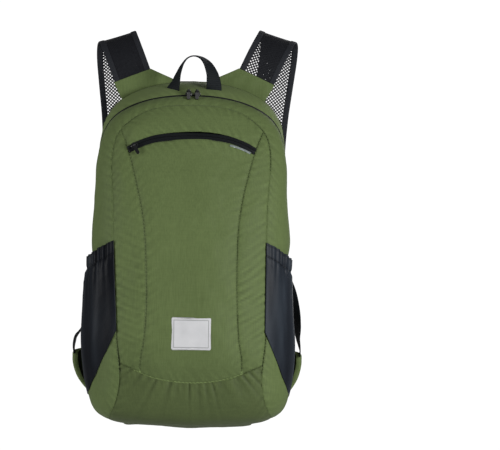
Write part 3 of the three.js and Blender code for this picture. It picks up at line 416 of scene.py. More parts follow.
def crown_fold(points):
    """One broad upright rise in the filled front, just right of its middle."""
    x, z = points[:, 0], points[:, 2]
    span = ramp(z, 60, 120) * ramp(z, 430, 370) * ramp(points[:, 1], -70, -100)
    return CROWN_FOLD * span * bell(x - 21 + (z - 230) * 0.045, 31)


def arc_tuck(points, above):
    """The gathered arc seam lies deeper than the cloth over it, most on the left."""
    x = points[:, 0]
    wide = ramp(np.abs(x), 100, 72) * (1 - 0.45 * ramp(x, 5, 65)) * ramp(points[:, 1], -60, -90)
    return -ARC_TUCK * wide * np.exp(-np.abs(above) / np.where(above > 0, 24, 70))


def rim_lines(bm):
    """The open edge of a panel as a tree of points with their distance along the seam."""
    places, seen = [], set()
    for start in [v for v in bm.verts if v.is_boundary]:
        if start in seen:
            continue
        v, run = start, 0.0
        while v is not None:
            seen.add(v)
            places.append((v.co.copy(), run))
            ahead = None
            for e in v.link_edges:
                other = e.other_vert(v)
                if e.is_boundary and other not in seen:
                    ahead, step = other, e.calc_length()
                    break
            if ahead is not None:
                run += step
            v = ahead
    tree = KDTree(len(places))
    for i, (co, _) in enumerate(places):
        tree.insert(co, i)
    tree.balance()
    return tree, np.array([run for _, run in places])


def new_object(name, bm, material):
    mesh = bpy.data.meshes.new(name)
    bm.to_mesh(mesh)
    bm.free()
    mesh.materials.append(material)
    piece = bpy.data.objects.new(name, mesh)
    bpy.context.scene.collection.objects.link(piece)
    return piece


def make_object(name, bm, node, material, body="pack"):
    """A finished mesh in metres as a smooth piece that rides a body and stands for the node it replaces."""
    for v in bm.verts:
        v.co = (v.co - ORIGIN) * MM
    piece = new_object(name, bm, material)
    piece.data.shade_smooth()
    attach(piece, body)
    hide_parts(node)
    return piece


def thicken(piece, thick, side):
    """Gives a sheet its thickness: inwards where side is -1, outwards at 1 and both ways at 0."""
    wall = piece.modifiers.new("cloth", "SOLIDIFY")
    wall.thickness = thick * MM
    wall.offset = side
    return wall


def turn_out(bm, way):
    """Turns a sheet over if its faces look away from a direction."""
    bm.normal_update()
    if sum(f.normal.dot(Vector(way)) for f in bm.faces) < 0:
        bmesh.ops.reverse_faces(bm, faces=bm.faces)


def math_node(operation, swapped=False):
    """A method that adds one Math node with the signal and another value, or with the signal alone."""
    def made(self, other=0.0):
        a, b = (other, self) if swapped else (self, other)
        return self.make("ShaderNodeMath", {"operation": operation}, {0: a, 1: b})
    return made


class Signal:
    """One value in a material; arithmetic on it adds Math nodes."""

    def __init__(self, socket):
        self.socket = socket

    def make(self, kind, settings, sockets, output=0):
        tree = self.socket.id_data
        node = tree.nodes.new(kind)
        for name, value in settings.items():
            setattr(node, name, value)
        for key, value in sockets.items():
            if isinstance(value, Signal):
                tree.links.new(value.socket, node.inputs[key])
            else:
                node.inputs[key].default_value = value
        return Signal(node.outputs[output])

    __add__ = __radd__ = math_node("ADD")
    __sub__ = math_node("SUBTRACT")
    __rsub__ = math_node("SUBTRACT", swapped=True)
    __mul__ = __rmul__ = math_node("MULTIPLY")
    wave, size, power, least = (math_node(kind) for kind in ("SINE", "ABSOLUTE", "POWER", "MINIMUM"))

    def rise(self, low, high):
        """Nought below low, one above high, and smooth between them."""
        return self.make(
            "ShaderNodeMapRange", {"interpolation_type": "SMOOTHSTEP"},
            {"Value": self, "From Min": low, "From Max": high},
        )

    def tint(self, factor, a, b, laid="MIX"):
        """Colour a where the factor is nought and b where it is one."""
        return self.make(
            "ShaderNodeMix", {"data_type": "RGBA", "blend_type": laid}, {0: factor, 6: a, 7: b}, output=2
        )

    def blend(self, a, b):
        """One colour laid over another as two dyes are."""
        return self.tint(1.0, a, b, "MULTIPLY")

    def part(self, axis):
        return self.make("ShaderNodeSeparateXYZ", {}, {0: self}, output=axis)

    def noise(self, scale, detail=2.0, stretch=(1, 1, 1)):
        """Even noise about one half, stretched along the axes with the smaller numbers."""
        spread = self.make("ShaderNodeVectorMath", {"operation": "MULTIPLY"}, {0: self, 1: stretch})
        return self.make("ShaderNodeTexNoise", {}, {"Vector": spread, "Scale": scale, "Detail": detail})

    def value(self, name):
        """A value that the mesh's own vertices carry."""
        return self.make("ShaderNodeAttribute", {"attribute_name": name}, {}, output=2)


def material(name, specular=0.5, **constants):
    """A material with its shader's plain values set; returns it, its shader and the place on the piece."""
    made = bpy.data.materials.new(name)
    made.use_nodes = True
    tree = made.node_tree
    shader = tree.nodes["Principled BSDF"]
    shader.inputs["Specular IOR Level"].default_value = specular
    for key, value in constants.items():
        shader.inputs[key.replace("_", " ")].default_value = value
    return made, shader, Signal(tree.nodes.new("ShaderNodeTexCoord").outputs["Object"])


def shade(colour, share):
    """A colour made lighter or darker."""
    return tuple(share * c for c in colour[:3]) + (1,)


def plug(shader, key, signal):
    shader.id_data.links.new(signal.socket, shader.inputs[key])


def bump(shader, height, strength, distance):
    plug(shader, "Normal", height.make(
        "ShaderNodeBump", {}, {"Height": height, "Strength": strength, "Distance": distance}
    ))


def ripstop(name, colour, deep):
    """Coated ripstop: a fine upright grain, a faint check, a dark seam line and a row of stitches, with
    painted shading in the folds and a painted highlight along the arc seam's ridge.
    """
    made, shader, place = material(name, 0.14, Roughness=0.6, Sheen_Weight=0.03, Sheen_Roughness=0.4)
    x, z = place.part(0), place.part(2)
    off = place.value("seam_off")
    run = place.value("seam_run")
    grain = place.noise(700, 3, (1, 1, 0.07))
    cross = place.noise(700, 2, (0.08, 0.08, 1))
    clouds = place.noise(14, 2)
    check = (x * 1250).wave().power(8) + (z * 1250).wave().power(8)
    depth = (grain - 0.5) * 1.1 + (cross - 0.5) * 0.45 + (clouds - 0.5) * 0.5 + 0.5
    # Painted shading: the crease value darkens fold valleys and lightens their ridges.
    painted_shading = place.tint(place.value("crease").rise(-1.3, 1.3), (0.8, 0.8, 0.8, 1), (1.17, 1.17, 1.17, 1))
    cloth = place.blend(place.tint(depth.rise(0.0, 1.0), deep, colour), painted_shading)
    tone = place.value("seam_tone")
    pull = (run * 1.3).wave().rise(-0.6, 0.2) * 0.75 + 0.25
    seam = (1 - off.rise(0.15, 0.9)) * tone * pull
    # Painted highlight: a pale line along the arc seam's raised ridge.
    painted_ridge_highlight = (1 - off.rise(0.25, 1.1)) * (0 - tone).rise(0.0, 0.7) * pull
    on_line = 1 - (off - 1.5).size().rise(0.2, 0.5)
    stitch = on_line * (run * 2.1).wave().rise(-0.35, 0.1)
    dark = shade(colour, 0.2)
    sewn = place.tint(painted_ridge_highlight, place.tint(seam, cloth, dark), shade(colour, 1.7))
    plug(shader, "Base Color", place.tint(stitch * (tone * 0.4 + 0.12), sewn, dark))
    plug(shader, "Roughness", (grain - 0.5) * 0.25 + 0.6)
    fine = place.noise(160, 3, (1, 1, 0.55))
    height = grain * 0.12 + cross * 0.05 + check * 0.02 + fine * 0.2 - seam * 0.6 - on_line * 0.2
    bump(shader, height, 0.55, 0.0011)
    return made


olive = ripstop("olive ripstop", (0.131, 0.178, 0.065, 1), (0.1, 0.138, 0.049, 1))
# Painted shade: the base and back panels take a darker copy of the olive ripstop, darkened for the shade that
# falls on the base.
painted_shade_olive = ripstop("deep olive ripstop", (0.094, 0.126, 0.046, 1), (0.069, 0.093, 0.034, 1))
# Painted light: a lighter copy of the olive ripstop for the yoke, whose top would otherwise render darker
# than the front under the lamps.
painted_lit_yoke_olive = ripstop("yoke olive ripstop", (0.16, 0.215, 0.08, 1), (0.13, 0.175, 0.064, 1))


def seam_tone(co):
    """How dark a seam shows: darkest by the pockets' feet, faint over the top, below nought along the arc for
    a painted highlight on its ridge.
    """
    out = abs(co.x)
    if co.y > -BACK_SEAM - 30:
        return 0.25
    if abs(above_arc(co)) < 5 and inside_face(co) < -1:
        # Below nought gives a painted highlight along the arc seam's ridge.
        return 0.25 if out > 72 else -0.8
    if co.z < 72:
        return 0.12
    if out > 88:
        return 1.0 if co.z < 128 else 0.1 if co.z < 335 else 0.75 if co.x > 0 else 0.4
    if co.z > 372:
        return 0.12 + 0.5 * float(ramp(out, 62, 76))
    return 0.8


def strip_folds(points, side):
    """Fine slanting puckers across the narrow strips, pulled up and outwards by the pockets' seams."""
    x, z = np.abs(points[:, 0]), points[:, 2]
    slant = z - (0.5 if side > 0 else 0.3) * x
    reach = bell(z - 172, 62 if side > 0 else 80) + 0.25 * bell(z - 300, 60)
    reach *= 0.6 + 0.4 * np.sin(z / 13 + x / 15) * np.sin(z / 7.7 - x / 11 + side)
    fold = np.sin(slant * 2 * math.pi / 10.8 + 1.9 * np.sin(z / 23) + 1.2 * np.sin(x / 9))
    fold += 0.6 * np.sin(slant * 2 * math.pi / 6.1 + 1.7 * np.sin(z / 15 + 1))
    return fold * reach * (1.2 if side > 0 else 0.75)


def arc_gathers(points, below):
    """Cloth gathered into the arc seam: sharp little folds that fan out and die away downwards."""
    across = (points[:, 0] - 4) / (1 + np.maximum(below, 0) / 110)
    wander = 1.1 * np.sin(across / 14) + 0.7 * np.sin(across / 6.3 + 2)
    fold = np.abs(np.sin(across * math.pi / 10.5 + wander)) ** 0.75 - 0.6
    fold += 0.45 * (np.abs(np.sin(across * math.pi / 6.2 + 1.6 * wander)) - 0.6)
    length = 17 + 8 * np.sin(across / 8.5) + 5 * np.sin(across / 3.7 + 1)
    fold *= ramp(points[:, 1], -60, -90)
    return fold * np.exp(-np.maximum(below, 0) / length) * ramp(below, 0, 2.2)


PANELS = [  # piece, label, material, slot, pucker height, seam depth, share of the dents
    ("front_centre", CENTRE, olive, "olive_ripstop", 0.6, 0.9, 0.9),
    ("front_upper", UPPER, olive, "olive_ripstop", 0.75, 0.8, 0.8),
    ("front_left", LEFT, olive, "olive_ripstop", 0.5, 0.9, 0.8),
    ("front_right", RIGHT, olive, "olive_ripstop", 0.5, 0.9, 0.8),
    ("base_panel", BASE, painted_shade_olive, "dark_olive_ripstop", 0.3, 0.5, 0.5),
    ("side_band", SIDE, olive, "olive_ripstop", 0.5, 0.6, 0.4),
    ("yoke", YOKE, painted_lit_yoke_olive, "dark_olive_ripstop", 0.35, 0.5, 0.3),
    ("back_panel", BACK, painted_shade_olive, "dark_olive_ripstop", 0.35, 0.6, 0.4),
]
dressed = []
for name, label, cloth, slot, pucker, depth, dent in PANELS:
    bm = bag.copy()
    others = [f for f in bm.faces if f[bm.faces.layers.int["panel"]] != label]
    bmesh.ops.delete(bm, geom=others, context="FACES")
    bmesh.ops.delete(bm, geom=[v for v in bm.verts if not v.link_faces], context="VERTS")
    normal_of = bm.verts.layers.float_vector["smooth"]
    tree, runs = rim_lines(bm)
    verts = list(bm.verts)
    points = np.array([v.co for v in verts])
    found = [tree.find(v.co) for v in verts]
    off = np.array([f[2] for f in found])
    off[off < 1.2] *= np.where([v.is_boundary for v in verts], 0, 1)[off < 1.2]
    run = runs[[f[1] for f in found]]
    slant = run + 0.7 * off
    ripple = 0.6 * np.sin(slant * 2 * math.pi / 13 + 1.6 * np.sin(slant / 17))
    ripple += 0.4 * np.sin(slant * 2 * math.pi / 7.3 + 2.1 * np.sin(slant / 11 + 1))
    shows = np.array([max(seam_tone(v.co), 0.0) for v in verts])
    height = -depth * (0.15 + 0.85 * np.minimum(shows, 1)) * bell(off, SEAM_WIDTH)
    # Crease is painted shading for the material: the valleys of the puckers and folds darker, their ridges
    # lighter.
    crease = ripple * np.exp(-off / 9) * np.minimum(off / 2.5, 1)
    height += pucker * crease
    height += dents(points) * dent * np.minimum(off / 18, 1) + 0.8 * np.minimum(off / 14, 1)
    height += sag(points) + crown_fold(points)
    if label in (LEFT, RIGHT, CENTRE, BASE):
        tuck = arc_tuck(points, np.array([above_arc(v.co) for v in verts]))
        height += tuck
        # Painted shade: the cloth is darker where it is tucked in at the arc seam.
        crease += tuck * (0.24 if label != BASE else 0.06)
    if label in (LEFT, RIGHT):
        folds = strip_folds(points, 1 if label == RIGHT else -1) * np.minimum(off / 3, 1)
        height += STRIP_FOLD * folds
        crease += 0.8 * folds
    if label == BASE:
        folds = arc_gathers(points, np.array([-above_arc(v.co) for v in verts]))
        height += GATHER * folds
        crease += 2.6 * folds
    offs, lines, tones, creases = (
        bm.verts.layers.float[mark] for mark in ("seam_off", "seam_run", "seam_tone", "crease")
    )
    for v, lift, o, r, c in zip(verts, height, off, run, crease):
        v[offs], v[lines], v[creases] = o, r, float(c)
        v[tones] = seam_tone(v.co) if o < 5 else 0
        v.co += v[normal_of] * float(lift)
    bmesh.ops.triangulate(bm, faces=[f for f in bm.faces if len(f.verts) > 4])
    dressed.append(bm.copy())
    thicken(make_object(name + "_cloth", bm, name, cloth), CLOTH, -1)

covering = bmesh.new()
for bm in dressed:
    mesh = bpy.data.meshes.new("covering")
    bm.to_mesh(mesh)
    bm.free()
    covering.from_mesh(mesh)
    bpy.data.meshes.remove(mesh)
cover_tree = BVHTree.FromBMesh(covering)
covering.free()

# Zips. The long main zip and the front pocket's curved zip are woven tape with a smooth black film that meets
# in a fine middle line; each is sewn into its slot with its edges under the cloth.
def sweep(stations, section):
    """A closed strip: a section of (across, up) points carried along stations of (place, across, up)."""
    bm = bmesh.new()
    shape = np.array(list(section) + [section[0]])
    at, across, up = (np.array([station[k] for station in stations])[:, None] for k in range(3))
    points = at + across * shape[None, :, :1] + up * shape[None, :, 1:]
    flat, along = np.zeros(points.shape[:2]), run_along(at[:, 0])[:, None]
    grid(bm, points, [("across", flat + shape[:, 0]), ("along", flat + along)], wrap=True)
    bmesh.ops.holes_fill(bm, edges=[e for e in bm.edges if e.is_boundary], sides=0)
    bmesh.ops.recalc_face_normals(bm, faces=bm.faces)
    return bm


def neighbours(line, i):
    return line[max(i - 1, 0)], line[min(i + 1, len(line) - 1)]


def along_cloth(path, tree, spread=2.5):
    """Stations on a path over the cloth, square to it, with the cloth's mean normal about each point."""
    stations = []
    for i, at in enumerate(path):
        before, after = neighbours(path, i)
        run, normal = (after - before).normalized(), Vector()
        for _, near, _, _ in tree.find_nearest_range(at, spread):
            normal += near
        if normal.length < 0.1:
            normal = stations[-1][2] if stations else Vector((0, -1, 0))
        normal = (normal - run * normal.dot(run)).normalized()
        stations.append((at, run.cross(normal).normalized(), normal))
    for _ in range(3):
        ups = [up for _, _, up in stations]
        stations = [
            (at, across, (up + sum(neighbours(ups, i), Vector())).normalized())
            for i, (at, across, up) in enumerate(stations)
        ]
    return stations


def zip_section(half, proud, seat, bead):
    """Tape with a rounded film on both sides of a fine middle groove, its edges bent down under the cloth."""
    outer = []
    for u in np.linspace(-half, half, 33):
        lift = proud + bead * bell(abs(u) - 0.75, 0.5) - 0.5 * bell(u, 0.22)
        edge = ramp(abs(u), half - 2.2, half)
        outer.append((u, lift + (seat - lift) * edge * edge * (3 - 2 * edge)))
    return outer + [(half, seat - 0.4), (-half, seat - 0.4)]


def film(name, colour, rough):
    made, shader, place = material(name, 0.2, Roughness=rough)
    across, along = place.value("across"), place.value("along")
    groove = 1 - across.size().rise(0.1, 0.4)
    weave = (along * 4.2).wave() * 0.5 + 0.5
    dust = place.noise(420, 3)
    body = place.tint(dust, colour, shade(colour, 1.8))
    plug(shader, "Base Color", place.tint(groove, body, (0.001, 0.001, 0.001, 1)))
    bump(shader, weave * 0.15 + dust * 0.3 - groove, 0.5, 0.0005)
    return made


black_film = film("black zip film", (0.0045, 0.0055, 0.0065, 1), 0.42)
main_stations = along_cloth(main_path, bag_tree)
make_object(
    "main_zip_tape", sweep(main_stations, zip_section(MAIN_SLOT / 2 + 1.6, -0.1, -2.9, 0.4)),
    "main_zip", black_film,
)
pocket_path = []
for x in np.linspace(-zip_reach, zip_reach, 140):
    at, normal = on_front(x, float(np.interp(x, pocket_line[:, 0], pocket_line[:, 1])), bag_tree)
    pocket_path.append(at - normal * 0.8)
make_object(
    "pocket_zip_tape",
    sweep(along_cloth(pocket_path, bag_tree, 6), zip_section(POCKET_SLOT / 2 + 1.6, 0.9, -2.1, 0.55)),
    "pocket_zip", black_film,
)

# Pale reflective trim, a narrow strip laid on the cloth under the right end of the pocket zip.
TRIM = {"width": 3.0, "thick": 0.7, "from": 51.0, "to": 79.0, "gap": 0.9}


def flat_section(width, thick, steps=4):
    """A flat strip's section with rounded edges."""
    half, r = width / 2 - thick / 2, thick / 2
    side = [(half + r * math.sin(a), -r * math.cos(a)) for a in np.linspace(0, math.pi, steps + 1)]
    side += [(half / 3, r), (-half / 3, r)]
    return side + [(-u, -w) for u, w in side]


trim_path = []
for x in np.linspace(TRIM["from"], TRIM["to"], 40):
    k = int(np.argmin(np.abs(pocket_line[:, 0] - x)))
    run = pocket_line[k + 1] - pocket_line[k - 1]
    below = np.array([run[1], -run[0]]) / np.hypot(*run)
    spot = pocket_line[k] + below * (pocket_slot(Vector((x, 0, 0))) + TRIM["gap"] + TRIM["width"] / 2)
    at, normal = on_front(spot[0], spot[1], cover_tree)
    trim_path.append(at + normal * (TRIM["thick"] / 2))
silver, shader, place = material("pale reflective trim", Roughness=0.35, Metallic=0.25)
plug(shader, "Base Color", place.tint(place.noise(300, 2), (0.15, 0.18, 0.17, 1), (0.36, 0.41, 0.4, 1)))
make_object(
    "pocket_zip_trim",
    sweep(along_cloth(trim_path, cover_tree, 4), flat_section(TRIM["width"], TRIM["thick"])),
    "pocket_zip_lip", silver,
)

# Label: a pale woven patch sewn flat on the front, bare but for the line of its own border.
LABEL = {"width": 51, "height": 41.5, "bottom": 102.6, "shift": 3.2, "thick": 0.6, "corner": 1.6}
LABEL_CELLS = (60, 48)
label_bm = bmesh.new()
across_of = label_bm.verts.layers.float.new("across")
along_of = label_bm.verts.layers.float.new("along")
bmesh.ops.create_grid(label_bm, x_segments=LABEL_CELLS[0], y_segments=LABEL_CELLS[1], size=1)
label_u, label_w = LABEL["width"] / 2, LABEL["height"] / 2
corner_x, corner_y = label_u - LABEL["corner"], label_w - LABEL["corner"]
for v in label_bm.verts:
    u, w = v.co.x * label_u, v.co.y * label_w
    over = Vector((max(abs(u) - corner_x, 0), max(abs(w) - corner_y, 0)))
    if over.length > LABEL["corner"]:
        over *= LABEL["corner"] / over.length
        u, w = math.copysign(corner_x + over.x, u), math.copysign(corner_y + over.y, w)
    edge = min(label_u - abs(u), label_w - abs(w))
    at, _ = on_front(u + LABEL["shift"], LABEL["bottom"] + label_w + w, cover_tree)
    v[across_of], v[along_of] = u, w
    v.co = at + Vector((0, -1, 0)) * (LABEL["thick"] + 0.35 * min(edge / 3, 1))
for _ in range(8):
    bmesh.ops.smooth_vert(
        label_bm, verts=[v for v in label_bm.verts if not v.is_boundary], factor=0.5,
        use_axis_x=False, use_axis_y=True, use_axis_z=False,
    )
bmesh.ops.recalc_face_normals(label_bm, faces=label_bm.faces)
turn_out(label_bm, (0, -1, 0))
white, shader, place = material("pale woven label", Roughness=0.62, Sheen_Weight=0.15)
u, w = place.value("across").size(), place.value("along").size()
rim = (label_u - u).least(label_w - w)
line = 1 - (rim - 3.1).size().rise(0.25, 0.65)
threads = (place.value("across") * 9).wave() * (place.value("along") * 9).wave()
base = place.tint(place.noise(60, 2), (0.58, 0.585, 0.6, 1), (0.72, 0.72, 0.735, 1))
plug(shader, "Base Color", place.tint(line * 0.75, base, (0.2, 0.205, 0.21, 1)))
bump(shader, threads * 0.25 - line * 0.6 + (1 - rim.rise(0.0, 0.9)) * -0.8, 0.5, 0.0005)
thicken(make_object("woven_label", label_bm, "label_patch", white), LABEL["thick"], -1)

# Side pockets: black stretch cloth, sewn in along both sides and the slanted foot, full in the middle and
# drawn in at the mouth by an elastic hem that gathers it.
POCKET_EDGES = [  # across, foot, mouth: shares of the pocket's height
    (0, 0.5, 1.09), (0.12, 0.345, 1.055), (0.25, 0.2, 1.02), (0.4, 0.098, 0.99),
    (0.6, 0.045, 0.965), (0.8, 0.015, 0.96), (1, 0, 0.965),
]
POCKET_FULLNESS = [
    (0, 0), (0.14, 0.3), (0.28, 0.56), (0.42, 0.78), (0.56, 0.93), (0.7, 1.0), (0.8, 0.96),
    (0.87, 0.76), (0.915, 0.5), (0.96, 0.42), (1, 0.34),
]
POCKET = {"foot": 28.5, "height": 195.5, "seat": 0.9, "front": 98, "rear": -0.112, "wall": 1.0}
BULGE = {-1: 13.5, 1: 9}
HEM = {"deep": 17, "gathers": 8, "tuck": 2.7}
POCKET_COLUMNS, POCKET_ROWS = 130, 150


ROW_HEIGHTS = [(column(SECTIONS, 0, k / 20) * BAG["height"], k / 20) for k in range(0, 201)]


def row_at(height):
    return table_value(ROW_HEIGHTS, 1, height)


def side_spot(height, across, side=1):
    """Place and outward normal on one side of the bag, from the pocket's front seam to its rear seam."""
    row = row_at(height)
    half = column(SECTIONS, 1, row) * BAG["half"]
    front = POCKET["front"] - (drift(height, -98) + 2.4 if side < 0 else 0)
    front_angle = math.acos((front / half) ** (SQUARE["front"] / 2))
    angle = front_angle + (2 * math.pi * POCKET["rear"] - front_angle) * across
    ahead, behind = bag_point(row, angle - 0.02), bag_point(row, angle + 0.02)
    above, below = bag_point(row + 0.1, angle), bag_point(row - 0.1, angle)
    return bag_point(row, angle), (ahead - behind).cross(above - below).normalized()


def pocket_sheet(side, seed):
    rng = np.random.default_rng(seed)
    folds = [(rng.uniform(0.5, 1), rng.uniform(0, 6.28), rng.uniform(1.5, 4.5)) for _ in range(5)]
    points = np.zeros((POCKET_ROWS + 1, POCKET_COLUMNS + 1, 3))
    offs = np.zeros(points.shape[:2] + (2,))
    for j in range(POCKET_COLUMNS + 1):
        across = j / POCKET_COLUMNS
        low = table_value(POCKET_EDGES, 1, across)
        high = table_value(POCKET_EDGES, 2, across)
        arch = math.sin(math.pi * across) ** 0.8
        tucks = 1.6 * abs(math.cos(math.pi * HEM["gathers"] * across + 1.3 * math.sin(9 * across + seed))) - 1
        tucks += 0.6 * math.cos(2 * math.pi * 15 * across + 1.7 * math.sin(7 * across + 2 * seed))
        for i in range(POCKET_ROWS + 1):
            up = i / POCKET_ROWS
            height = POCKET["foot"] + (low + (high - low) * up) * POCKET["height"]
            at, normal = side_spot(height, across, side)
            full = table_value(POCKET_FULLNESS, 1, up)
            below_mouth = (1 - up) * (high - low) * POCKET["height"]
            hem, line = bell(below_mouth, HEM["deep"]), bell(below_mouth - HEM["deep"], 3.2)
            under = math.exp(-abs(below_mouth - HEM["deep"]) / 17)
            drape = sum(
                h * math.sin(rate * (across * 6.28 + 1.1 * up * math.sin(phase)) + phase)
                for h, phase, rate in folds
            )
            out = POCKET["seat"] + BULGE[side] * arch * full
            out += 0.7 * HEM["tuck"] * tucks * arch * (hem + under)
            out -= 1.5 * line * arch
            out += 0.8 * drape * arch * math.sin(math.pi * min(up * 1.1, 1))
            spot = at + normal * max(out, POCKET["seat"])
            points[i, j] = (side * spot.x, spot.y, spot.z)
            reach = max(hem, under)
            # The crease value is painted shading: the gathers and drape set it, and the side adds painted
            # light, higher on the right pocket and lower on the left.
            offs[i, j] = below_mouth, tucks * reach * arch + 0.4 * drape + 0.75 * side + 0.05
    return points, offs


stretch, shader, place = material(
    "black stretch cloth", 0.09, Roughness=0.4, Sheen_Weight=0.03, Sheen_Roughness=0.3,
    Sheen_Tint=(0.55, 0.65, 0.8, 1),
)
mouth = place.value("below_mouth")
knit = place.noise(900, 2, (1, 1, 0.2))
haze = place.noise(25, 3)
hem_line = 1 - (mouth - HEM["deep"]).size().rise(0.5, 1.6)
edge_line = 1 - (mouth - 2.5).size().rise(0.3, 0.9)
# Painted sheen: upright streaks lighten the black knit as soft highlights would.
painted_sheen_streaks = place.noise(42, 2, (1, 1, 0.22)).rise(0.36, 0.66) * 0.7 + haze * 0.3
black_cloth = place.tint(painted_sheen_streaks, (0.0075, 0.009, 0.0125, 1), (0.0215, 0.026, 0.033, 1))
# Painted shading from the crease value: darker in the gathers' valleys, lighter on their ridges, and lighter
# on the right pocket than on the left.
painted_shading = place.tint(place.value("crease").rise(-1.2, 1.4), (0.45, 0.45, 0.48, 1), (1.75, 1.8, 1.8, 1))
plug(shader, "Base Color", place.tint(
    hem_line * 0.6 + edge_line * 0.4, place.blend(black_cloth, painted_shading), (0.004, 0.0045, 0.006, 1)
))
bump(shader, knit * 0.25 + haze * 0.6 - hem_line * 0.8 - edge_line * 0.5, 0.4, 0.0009)
for name, side, seed in (("left", -1, 3), ("right", 1, 8)):
    points, offs = pocket_sheet(side, seed)
    bm = bmesh.new()
    grid(bm, points, [("below_mouth", offs[:, :, 0]), ("crease", offs[:, :, 1])])
    turn_out(bm, (side, 0, 0))
    piece = make_object(f"{name}_stretch_pocket", bm, f"{name}_side_pocket", stretch)
    thicken(piece, POCKET["wall"], 1)

# Haul loop: 20 mm ribbed webbing, both ends sewn flat into the yoke, standing up and turned edge on at its
# top.
LOOP = {"width": 20, "thick": 1.8, "half": 27, "top": 481.5, "back": 40}
LOOP_BENDS = [  # across, up, turn in degrees
    (1.0, 0, 0), (1.01, 0.1, 12), (0.97, 0.3, 27), (0.905, 0.49, 41), (0.665, 0.78, 58), (0.35, 0.95, 76),
    (0, 1, 88), (-0.28, 0.94, 91), (-0.5, 0.78, 95), (-0.71, 0.49, 107), (-0.85, 0.2, 124), (-0.97, 0, 150),
]


def strip_stations(points, guides):
    """Stations of a flat strip from its middle line and a guide for its width at each point."""
    stations = []
    for i, at in enumerate(points):
        before, after = neighbours(points, i)
        run = (after - before).normalized()
        wide = (guides[i] - run * guides[i].dot(run)).normalized()
        stations.append((at, wide, wide.cross(run).normalized()))
    return stations


def smooth_rows(places, guides, count):
    points, sides = [], []
    last = len(places) - 1
    for i in range(count + 1):
        t = i / count
        k = min(int(t * last), last - 1)
        points.append(spline(places, t))
        sides.append(guides[k].lerp(guides[k + 1], t * last - k))
    return points, sides


def webbing(name, colour, ribs=2.6):
    """Woven tape: fine ribs across, two flat borders and a dull black face."""
    made, shader, place = material(name, 0.12, Roughness=0.62)
    across, along = place.value("across"), place.value("along")
    rib = (along * ribs + (across * 3.1).wave() * 0.8).wave() * 0.5 + 0.5
    row = (across * 4.4).wave() * 0.5 + 0.5
    fuzz = place.noise(500, 2)
    body = place.tint(rib * 0.6 + fuzz * 0.5, colour, shade(colour, 2.2))
    plug(shader, "Base Color", body)
    bump(shader, rib * 0.5 + row * 0.3 + fuzz * 0.2, 0.6, 0.0006)
    return made


black_web = webbing("black webbing", (0.0055, 0.007, 0.0085, 1))
loop_seat = hit((LOOP["half"], -LOOP["back"], 600), (0, 0, -1), cover_tree)[0].z - 1.2
places = [
    Vector((a * LOOP["half"], -LOOP["back"], loop_seat + (LOOP["top"] - loop_seat) * u))
    for a, u, _ in LOOP_BENDS
]
guides = [Vector((math.cos(math.radians(t)), math.sin(math.radians(t)), 0)) for _, _, t in LOOP_BENDS]
points, sides = smooth_rows(places, guides, 120)
make_object(
    "haul_loop_web", sweep(strip_stations(points, sides), flat_section(LOOP["width"], LOOP["thick"])),
    "haul_loop", black_web,
)

# Shoulder straps: one layer of open black net, its holes cut right through, bound on both edges with folded
# tape that is turned over the rim and stitched down.
STRAP = {"width": 50, "binding": 7.5, "rim": 2.6, "net": 1.0, "root_half": 80.3, "reach": 122}
CROWN_TOP, ROOT_TOP = 506, 452.2
STRAP_BENDS = [
    (1.0, -0.025, 0, 21.5), (1.15, 0.065, 0.52, 20), (1.26, 0.23, 0.87, 19), (1.31, 0.41, 1, 18),
    (1.345, 0.62, 0.87, 14), (1.34, 0.8, 0.48, 9), (1.295, 0.92, -0.13, 5), (1.23, 0.99, -0.97, 2),
    (1.195, 1.0, -1.9, 0), (1.195, 0.935, -2.84, 0), (1.245, 0.8, -3.68, 0), (1.27, 0.74, -3.98, 0),
]
MESH_PITCH = 4.6
STRAP_LEAN = [1.3, 2.6, 3.8, 4.2, 4.2, 3.4, 2.6, 1.8, 0.9, 0.3, 0, 0]
STRANDS = {  # from, to, half a yarn on the inner and outer side: the net is drawn together where it is pulled
    "left": [(-1, 0.2, 1.5, 1.5), (0.2, 0.3, 1.3, 0.85), (0.3, 0.42, 1.1, 0.68), (0.42, 2, 0.68, 0.68)],
    "right": [
        (-1, 0.13, 0.74, 1.25), (0.13, 0.22, 1.1, 1.3), (0.22, 0.42, 1.25, 0.68), (0.42, 2, 0.68, 0.68),
    ],
}


def strap_rows(side):
    places = [
        Vector((
            side * o * STRAP["root_half"] + lean, b * STRAP["reach"],
            ROOT_TOP + (CROWN_TOP - ROOT_TOP) * u + 0.35 * side * lean,
        ))
        for (o, b, u, _), lean in zip(STRAP_BENDS, STRAP_LEAN)
    ]
    guides = [
        Vector((side * math.cos(math.radians(lean)), 0, -math.sin(math.radians(lean))))
        for *_, lean in STRAP_BENDS
    ]
    return places, guides


def strap_line(side, count=240):
    points, sides = smooth_rows(*strap_rows(side), count)
    return strip_stations(points, sides)


